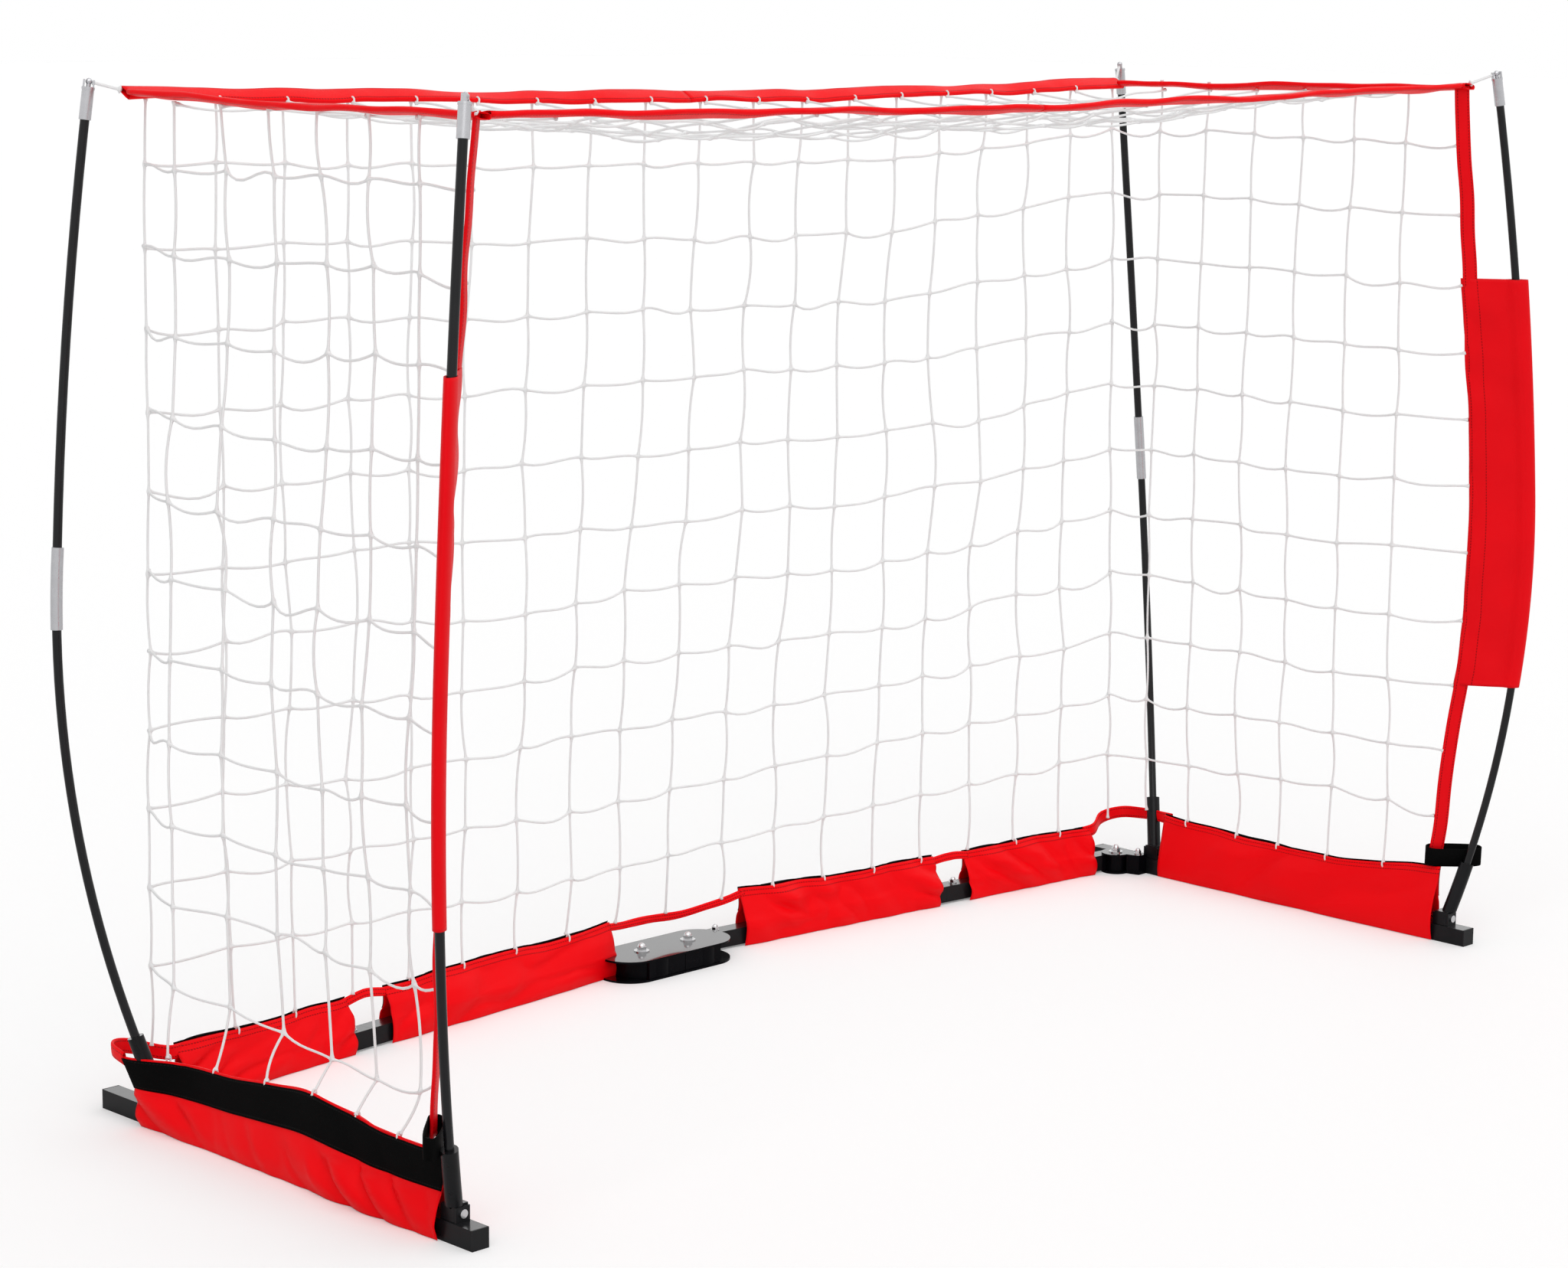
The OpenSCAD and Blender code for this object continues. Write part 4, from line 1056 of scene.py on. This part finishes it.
for side, sign in SIDES:
    rng = np.random.default_rng(60 + sign)
    hem = HEM_AT[side]
    begin, end = hem[0][0], hem[0][-1]
    place = side_place(sign, begin)
    line = skirt(f"side_skirt_cloth_{side}", place, end - begin, SIDE_HEM, rng, f"side_{side}",
                 f"side_tube_{side}", f"side_skirt_{side}", hem=hem, **SIDE_SHAPE[side])
    at = np.array(FOOT_Y[side][1:-1])
    hem_loops(f"side_hem_loops_{side}", place, *line, at[at < end - 0.005] - begin, f"side_{side}")
print("side skirts made")

# %% [markdown]
# A rear skirt is two sleeves on each bar, with a gap where the bar is spliced. It is the side skirt's
# function with other numbers. Its outer face lies nearly flat, because the two bars fold with these
# faces together, and deep folds would go through each other.

# %% Rear skirts
REAR_SPANS = {"left": ((0.085, 0.513), (0.580, 0.864)), "right": ((0.160, 0.530), (0.590, 0.850))}
REAR_HEM = 0.073


def rear_place(sign, start):
    """Along a rear bar outwards from the given place, with plus x across it pointing backwards."""
    def place(along, across, up):
        plan = bar_point(start + along, across)
        return np.stack([sign * plan[..., 0], plan[..., 1], up], -1)
    return place


for side, sign in SIDES:
    for k, (a, b) in enumerate(REAR_SPANS[side]):
        rng = np.random.default_rng(70 + sign * 3 + k)
        start, stop = bar_u(a), bar_u(b)
        place = rear_place(sign, start)
        high = 0.080 if (side, k) == ("right", 0) else REAR_HEM
        hem = (np.linspace(start, stop, 5), (high, high - 0.001, REAR_HEM, REAR_HEM, REAR_HEM))
        line = skirt(f"rear_skirt_cloth_{side}_{k + 1}", place, stop - start, REAR_HEM, rng, f"rear_{side}",
                     f"rear_tube_{'inner' if k == 0 else 'outer'}_{side}",
                     f"rear_skirt_{side}" if k == 0 else None, slant=1.1, hem=hem, tape_low=0.040,
                     tape_over=0.0022, inner_fold=0.8, outer_fold=0.08)
        columns = bar_u(np.abs(COLUMN_X[np.sign(COLUMN_X) == sign]))
        columns = columns[(columns > start + 0.01) & (columns < stop - 0.01)]
        hem_loops(f"rear_hem_loops_{side}_{k + 1}", place, *line, columns - start, f"rear_{side}")
print("rear skirts made")

# %% [markdown]
# Where a skirt is cut out for a splice, a hinge or a corner, only its hem goes on, as a narrow ribbon
# that twists and droops a little. It is the sleeve's own function with a smaller section, stood nearly
# on edge. A corner's ribbon goes from the rear bar to the side, so it follows both.

# %% Hems over the openings
HEM_Z = 0.066
RIBBON = dict(thick=0.0035, lumps=0.0016, turn=0.16)
CORNER_WAY = {"left": ((0.905, 0.672, 0.076), (0.936, 0.668, 0.083), (0.954, 0.650, 0.086),
                       (0.957, 0.622, 0.082)),
              "right": ((0.900, 0.668, 0.076), (0.938, 0.660, 0.080), (0.951, 0.630, 0.082),
                        (0.944, 0.592, 0.086), (0.930, 0.552, 0.090))}


def on_bar(sign, x, z):
    """A point above the rear bar."""
    return (sign * x, float(bar_y(x)), z)


band("hinge_hem", [on_bar(-1, 0.092, 0.068), on_bar(-1, 0.05, 0.063), on_bar(1, 0.01, 0.062),
                   on_bar(1, 0.07, 0.064), on_bar(1, 0.13, 0.069), on_bar(1, 0.168, 0.075)],
     "hinge", ["hinge_plate_top"], width=0.010, seed=91, tilt=70, stands_for="hem_link", **RIBBON)
for side, sign in SIDES:
    (_, gap_in), (gap_out, end_x) = REAR_SPANS[side]
    way = [on_bar(sign, gap_in - 0.006, HEM_Z), on_bar(sign, (gap_in + gap_out) / 2, 0.071),
           on_bar(sign, gap_out + 0.008, HEM_Z)]
    band(f"splice_hem_{side}", way, f"rear_{side}", [f"rear_tube_outer_{side}"], width=0.011,
         seed=95 + sign, tilt=75 * sign, **RIBBON)
    way = [on_bar(sign, end_x - 0.010, HEM_Z), on_bar(sign, end_x + 0.012, 0.069),
           *[(sign * x, AHEAD + y, z) for x, y, z in CORNER_WAY[side]]]
    corner = band(f"corner_hem_{side}", way, None, [f"side_tube_{side}"], width=0.017, seed=97 + sign,
                  tilt=80 * sign, **RIBBON)[0]
    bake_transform(corner)
print("hems made")

# %% [markdown]
# The pole pouch is a folded panel: a flat part, sewn to the post, and a loop round the pole. It could
# be a box and a cylinder joined, but cloth passes from one to the other without an edge. So its
# section is one closed curve, thin where the two layers touch and round at the pole.

# %% The pouch
LOOP_R = 0.0072
LAYER_GAP = 0.0032
REACH_LOW, REACH_MORE = 0.011, 0.0070


def pouch_section(wide, gap, loop):
    """Upper half: the gap along the flat part, rising to the loop's circle; the lower half mirrors it."""
    x = np.concatenate([np.linspace(-wide, -loop * 2.0, 14), np.linspace(-loop * 1.7, -loop * 0.5, 4)])
    rise = np.clip((x + loop * 2.4) / (loop * 1.9), 0, 1)
    y = gap / 2 + (loop * 0.94 - gap / 2) * rise * rise * (3 - 2 * rise)
    t = np.linspace(math.pi * 0.62, 0, 9)
    top = np.concatenate([np.stack([x, y], -1), np.stack([loop * np.cos(t), loop * np.sin(t)], -1)])
    return np.concatenate([top, top[::-1][1:] * [1, -1]])[::-1]


def pouch(side, sign, rng):
    """The section carried up the pole, turned a little off the plane of its bow, with long soft folds."""
    h = np.linspace(POUCH_LOW, POUCH_HIGH, 130)
    section = pouch_section(POUCH_W, LAYER_GAP, LOOP_R)
    away = np.clip((-section[:, 0] - 0.006) / 0.02, 0, 1)[None]
    reach = (REACH_LOW + REACH_MORE * (h - h[0]) / (h[-1] - h[0]))[:, None] / LOOP_R
    wide = np.where(section[:, 0] > 0, reach, pouch_width(h)[:, None] / POUCH_W) * section[None, :, 0]
    out = out_at(h)[:, None] + wide + waves(h, rng, 3, 0.001, 0.4)[:, None] * away
    off = section[None, :, 1] + creases(h[:, None], section[None, :, 0], rng, 0.0022, 0.110, 0.35) * away
    off = off + post_line(h)[1][:, None] * np.clip(-section[None, :, 0] / POUCH_W, 0, 1) ** 1.4
    points = in_bow(sign, FRONT_FOOT, out, h[:, None], off)
    uv = np.stack(np.broadcast_arrays(h[:, None], (section[:, 0] + POUCH_W)[None]), -1)
    made = piece(f"pole_pouch_{side}", points, quads(*out.shape, close_columns=True), red_pouch,
                 f"side_{side}", uv=uv, thick=SKIRT_CLOTH)


print("the pouch's section has", len(pouch_section(POUCH_W, LAYER_GAP, LOOP_R)), "points")

# %% [markdown]
# The post is a folded strip that runs from the net's top corner, past the pouch, to the strap at the
# foot. The sleeve's function turns a strip about its own path, but the post keeps to the plane of the
# bow, so it is placed in that plane directly.


# %% Posts and pouches
def post(side, sign, rng):
    """A strip along the post's line, in the plane of the bow."""
    h = np.linspace(POST_LOW, POST_HIGH, 150)
    out, off = post_line(h)
    out, off = out + waves(h, rng, 3, 0.0012, 0.3), off + waves(h, rng, 3, 0.0012, 0.25)
    strip = strip_section(POST_W, 0.0046)
    points = in_bow(sign, FRONT_FOOT, out[:, None] + strip[None, :, 0], h[:, None],
                    off[:, None] + strip[None, :, 1])
    uv = np.stack(np.broadcast_arrays(h[:, None], (POST_W / 2 - np.abs(strip[:, 0]))[None]), -1)
    made = piece(f"post_strip_{side}", points, quads(*points.shape[:2], close_columns=True), red_pouch,
                 f"side_{side}", uv=uv, stands_for=f"front_post_{side}", thick=BAND_CLOTH)


for side, sign in SIDES:
    rng = np.random.default_rng(80 + sign)
    pouch(side, sign, rng)
    post(side, sign, rng)
print("posts and pouches made")

# %% [markdown]
# A black webbing strap closes in a long loop round the foot of the post, and lies against the far
# side of the pole. It is a flat ribbon carried round the loop. The loop is a superellipse seen from
# above, long and nearly straight at its sides, with one side pushed a little out of true. On the left
# the plane is mirrored, which turns a closed ribbon inside out, so its faces are turned back.

# %% Straps
STRAP_Z = 0.121 - TUBE
PAST_POLE = (0.024, 0.0165)
PAST_POST = (0.014, 0.001)
STRAP_ACROSS = np.array([-0.013, -0.0128, 0.0128, 0.013, 0.013, 0.0128, -0.0128, -0.013])
STRAP_THROUGH = np.array([-0.0006, -0.0009, -0.0009, -0.0006, 0.0006, 0.0009, 0.0009, 0.0006])


def flipped(faces):
    """The same faces with their corners the other way round, so that they look the other way."""
    return [block[:, ::-1] for block in faces]


for side, sign in SIDES:
    near = np.array([float(out_at(STRAP_Z)) + PAST_POLE[0], PAST_POLE[1]])
    far = np.array([float(part) for part in post_line(STRAP_Z)]) - PAST_POST
    along = unit(near - far)
    beside = np.array([-along[1], along[0]])
    t = np.arange(96) * 2 * np.pi / 96
    half_w, half_l = 0.0088, float(np.linalg.norm(near - far)) / 2
    long_way = np.sign(np.cos(t)) * np.abs(np.cos(t)) ** 0.45 * half_l
    short_way = np.sign(np.sin(t)) * np.abs(np.sin(t)) ** 0.8 * half_w * (1 + 0.12 * np.sin(3 * t + 1))
    loop = (near + far) / 2 + long_way[:, None] * along + short_way[:, None] * beside
    normal = unit((np.cos(t) * half_w)[:, None] * along + (np.sin(t) * half_l)[:, None] * beside)
    ring = loop[:, None] + normal[:, None] * STRAP_THROUGH[None, :, None]
    ring_h = STRAP_Z + STRAP_ACROSS[None] + 0.002 * np.sin(t)[:, None]
    points = in_bow(sign, FRONT_FOOT, ring[..., 0], ring_h, ring[..., 1])
    faces = quads(len(t), len(STRAP_ACROSS), close_rows=True, close_columns=True)
    run = lengths(loop)
    uv = np.stack(np.broadcast_arrays(run[:, None], (0.013 - np.abs(STRAP_ACROSS))[None]), -1)
    strap = piece(f"closing_strap_{side}", points, flipped(faces) if sign < 0 else faces, black_web,
                  f"side_{side}", uv=uv, stands_for=f"strap_{side}")
print("straps made")

# %% [markdown]
# A short cord ties each top corner of the net to the cap on its pole. It leaves the corner in a small
# knot, and ends on the cap's knob. It is pulled tight, so it is a straight tube, and the knot and the
# turn round the knob are two swellings of its radius.

# %% Corner ties
TIE_R = 0.0019
KNOB_R = 0.0055
for side, sign in SIDES:
    made = []
    for foot, net_y, row in ((FRONT_FOOT, NET_FRONT - 0.008, "front"), (REAR_FOOT, NET_REAR + 0.006, "rear")):
        tip = in_bow(sign, foot, 0.0, POLE_H + 0.008)
        start = np.array([sign * (NET_X + 0.006), net_y, NET_TOP + 0.004 + float(dip(sign * NET_X, row))])
        s = np.linspace(0, 1, 40)[:, None]
        path = start + (tip - unit(tip - start) * KNOB_R - start) * s
        swell = 1 + 1.6 * np.exp(-((s - 0.06) / 0.05) ** 2) + 0.5 * np.exp(-((s - 0.97) / 0.04) ** 2)
        made.append(tube_mesh(carry(path, circle(8)[None] * (TIE_R * swell)[..., None])[None]))
    points, faces = together(made)
    piece(f"corner_ties_{side}", points, faces, net_cord, f"side_{side}",
          stands_for=f"tie_cords_{side}")
print("ties made")

# %% [markdown]
# The floor is a pale sheet that catches the goal's shadow. A stronger light could make it white, but it
# would bleach the goal too. So the floor only gives back a little light of its own, to the camera alone.

# %% Floor
FLOOR_HALF = 40
FLOOR_LIFT = 0.20
corners = [(x * FLOOR_HALF, y * FLOOR_HALF, 0) for x, y in ((-1, -1), (1, -1), (1, 1), (-1, 1))]
floor_mesh = bpy.data.meshes.new("floor")
floor_mesh.from_pydata(corners, [], [(0, 1, 2, 3)])
floor = bpy.data.objects.new("floor", floor_mesh)
bpy.context.scene.collection.objects.link(floor)
floor_finish = Finish("pale_floor", (0.84, 0.84, 0.84), 0.7, Specular_IOR_Level=0.1)
floor_finish.feed("Emission Color", (1.0, 1.0, 1.0, 1.0))
floor_finish.feed("Emission Strength", floor_finish.node("ShaderNodeLightPath", out=0) * FLOOR_LIFT)
floor_mesh.materials.append(floor_finish.material)
print("floor", 2 * FLOOR_HALF, "m wide")

# %% [markdown]
# The light comes from all round, as in a white studio, with two broad soft suns above. The world is
# white where the camera or a reflection sees it, and dimmer as a light, so that the object's colours
# stay as they were written. One world of one strength would make either a grey backdrop or a glare.

# %% Light
SEEN_LEVEL, LIT_LEVEL = 1.0, 0.55
SUNS = (("key", (-2.0, -3.0, 4.2), 60, 1.15), ("fill", (3.0, -0.5, 3.6), 70, 0.45))
world = bpy.data.worlds.new("white_studio")
bpy.context.scene.world = world
world.use_nodes = True
tree = world.node_tree
tree.nodes.clear()
rays = tree.nodes.new("ShaderNodeLightPath")
seen = rays.outputs["Is Camera Ray"]
for name in ("Is Glossy Ray", "Is Transmission Ray"):
    either = tree.nodes.new("ShaderNodeMath")
    either.operation = "MAXIMUM"
    tree.links.new(seen, either.inputs[0])
    tree.links.new(rays.outputs[name], either.inputs[1])
    seen = either.outputs[0]
level = tree.nodes.new("ShaderNodeMapRange")
tree.links.new(seen, level.inputs["Value"])
level.inputs["To Min"].default_value = LIT_LEVEL
level.inputs["To Max"].default_value = SEEN_LEVEL
sky = tree.nodes.new("ShaderNodeBackground")
sky.inputs["Color"].default_value = (1.0, 1.0, 1.0, 1.0)
tree.links.new(level.outputs[0], sky.inputs["Strength"])
world_out = tree.nodes.new("ShaderNodeOutputWorld")
tree.links.new(sky.outputs[0], world_out.inputs[0])

for name, place, wide, power in SUNS:
    lamp = bpy.data.lights.new(name, "SUN")
    lamp.angle = math.radians(wide)
    lamp.energy = power
    holder = bpy.data.objects.new(name, lamp)
    toward = unit(np.array(place))
    level_way = unit(np.cross((0, 0, 1), toward))
    holder.matrix_world = turned((level_way, np.cross(toward, level_way), toward), place)
    bpy.context.scene.collection.objects.link(holder)
print("lights", len(SUNS))
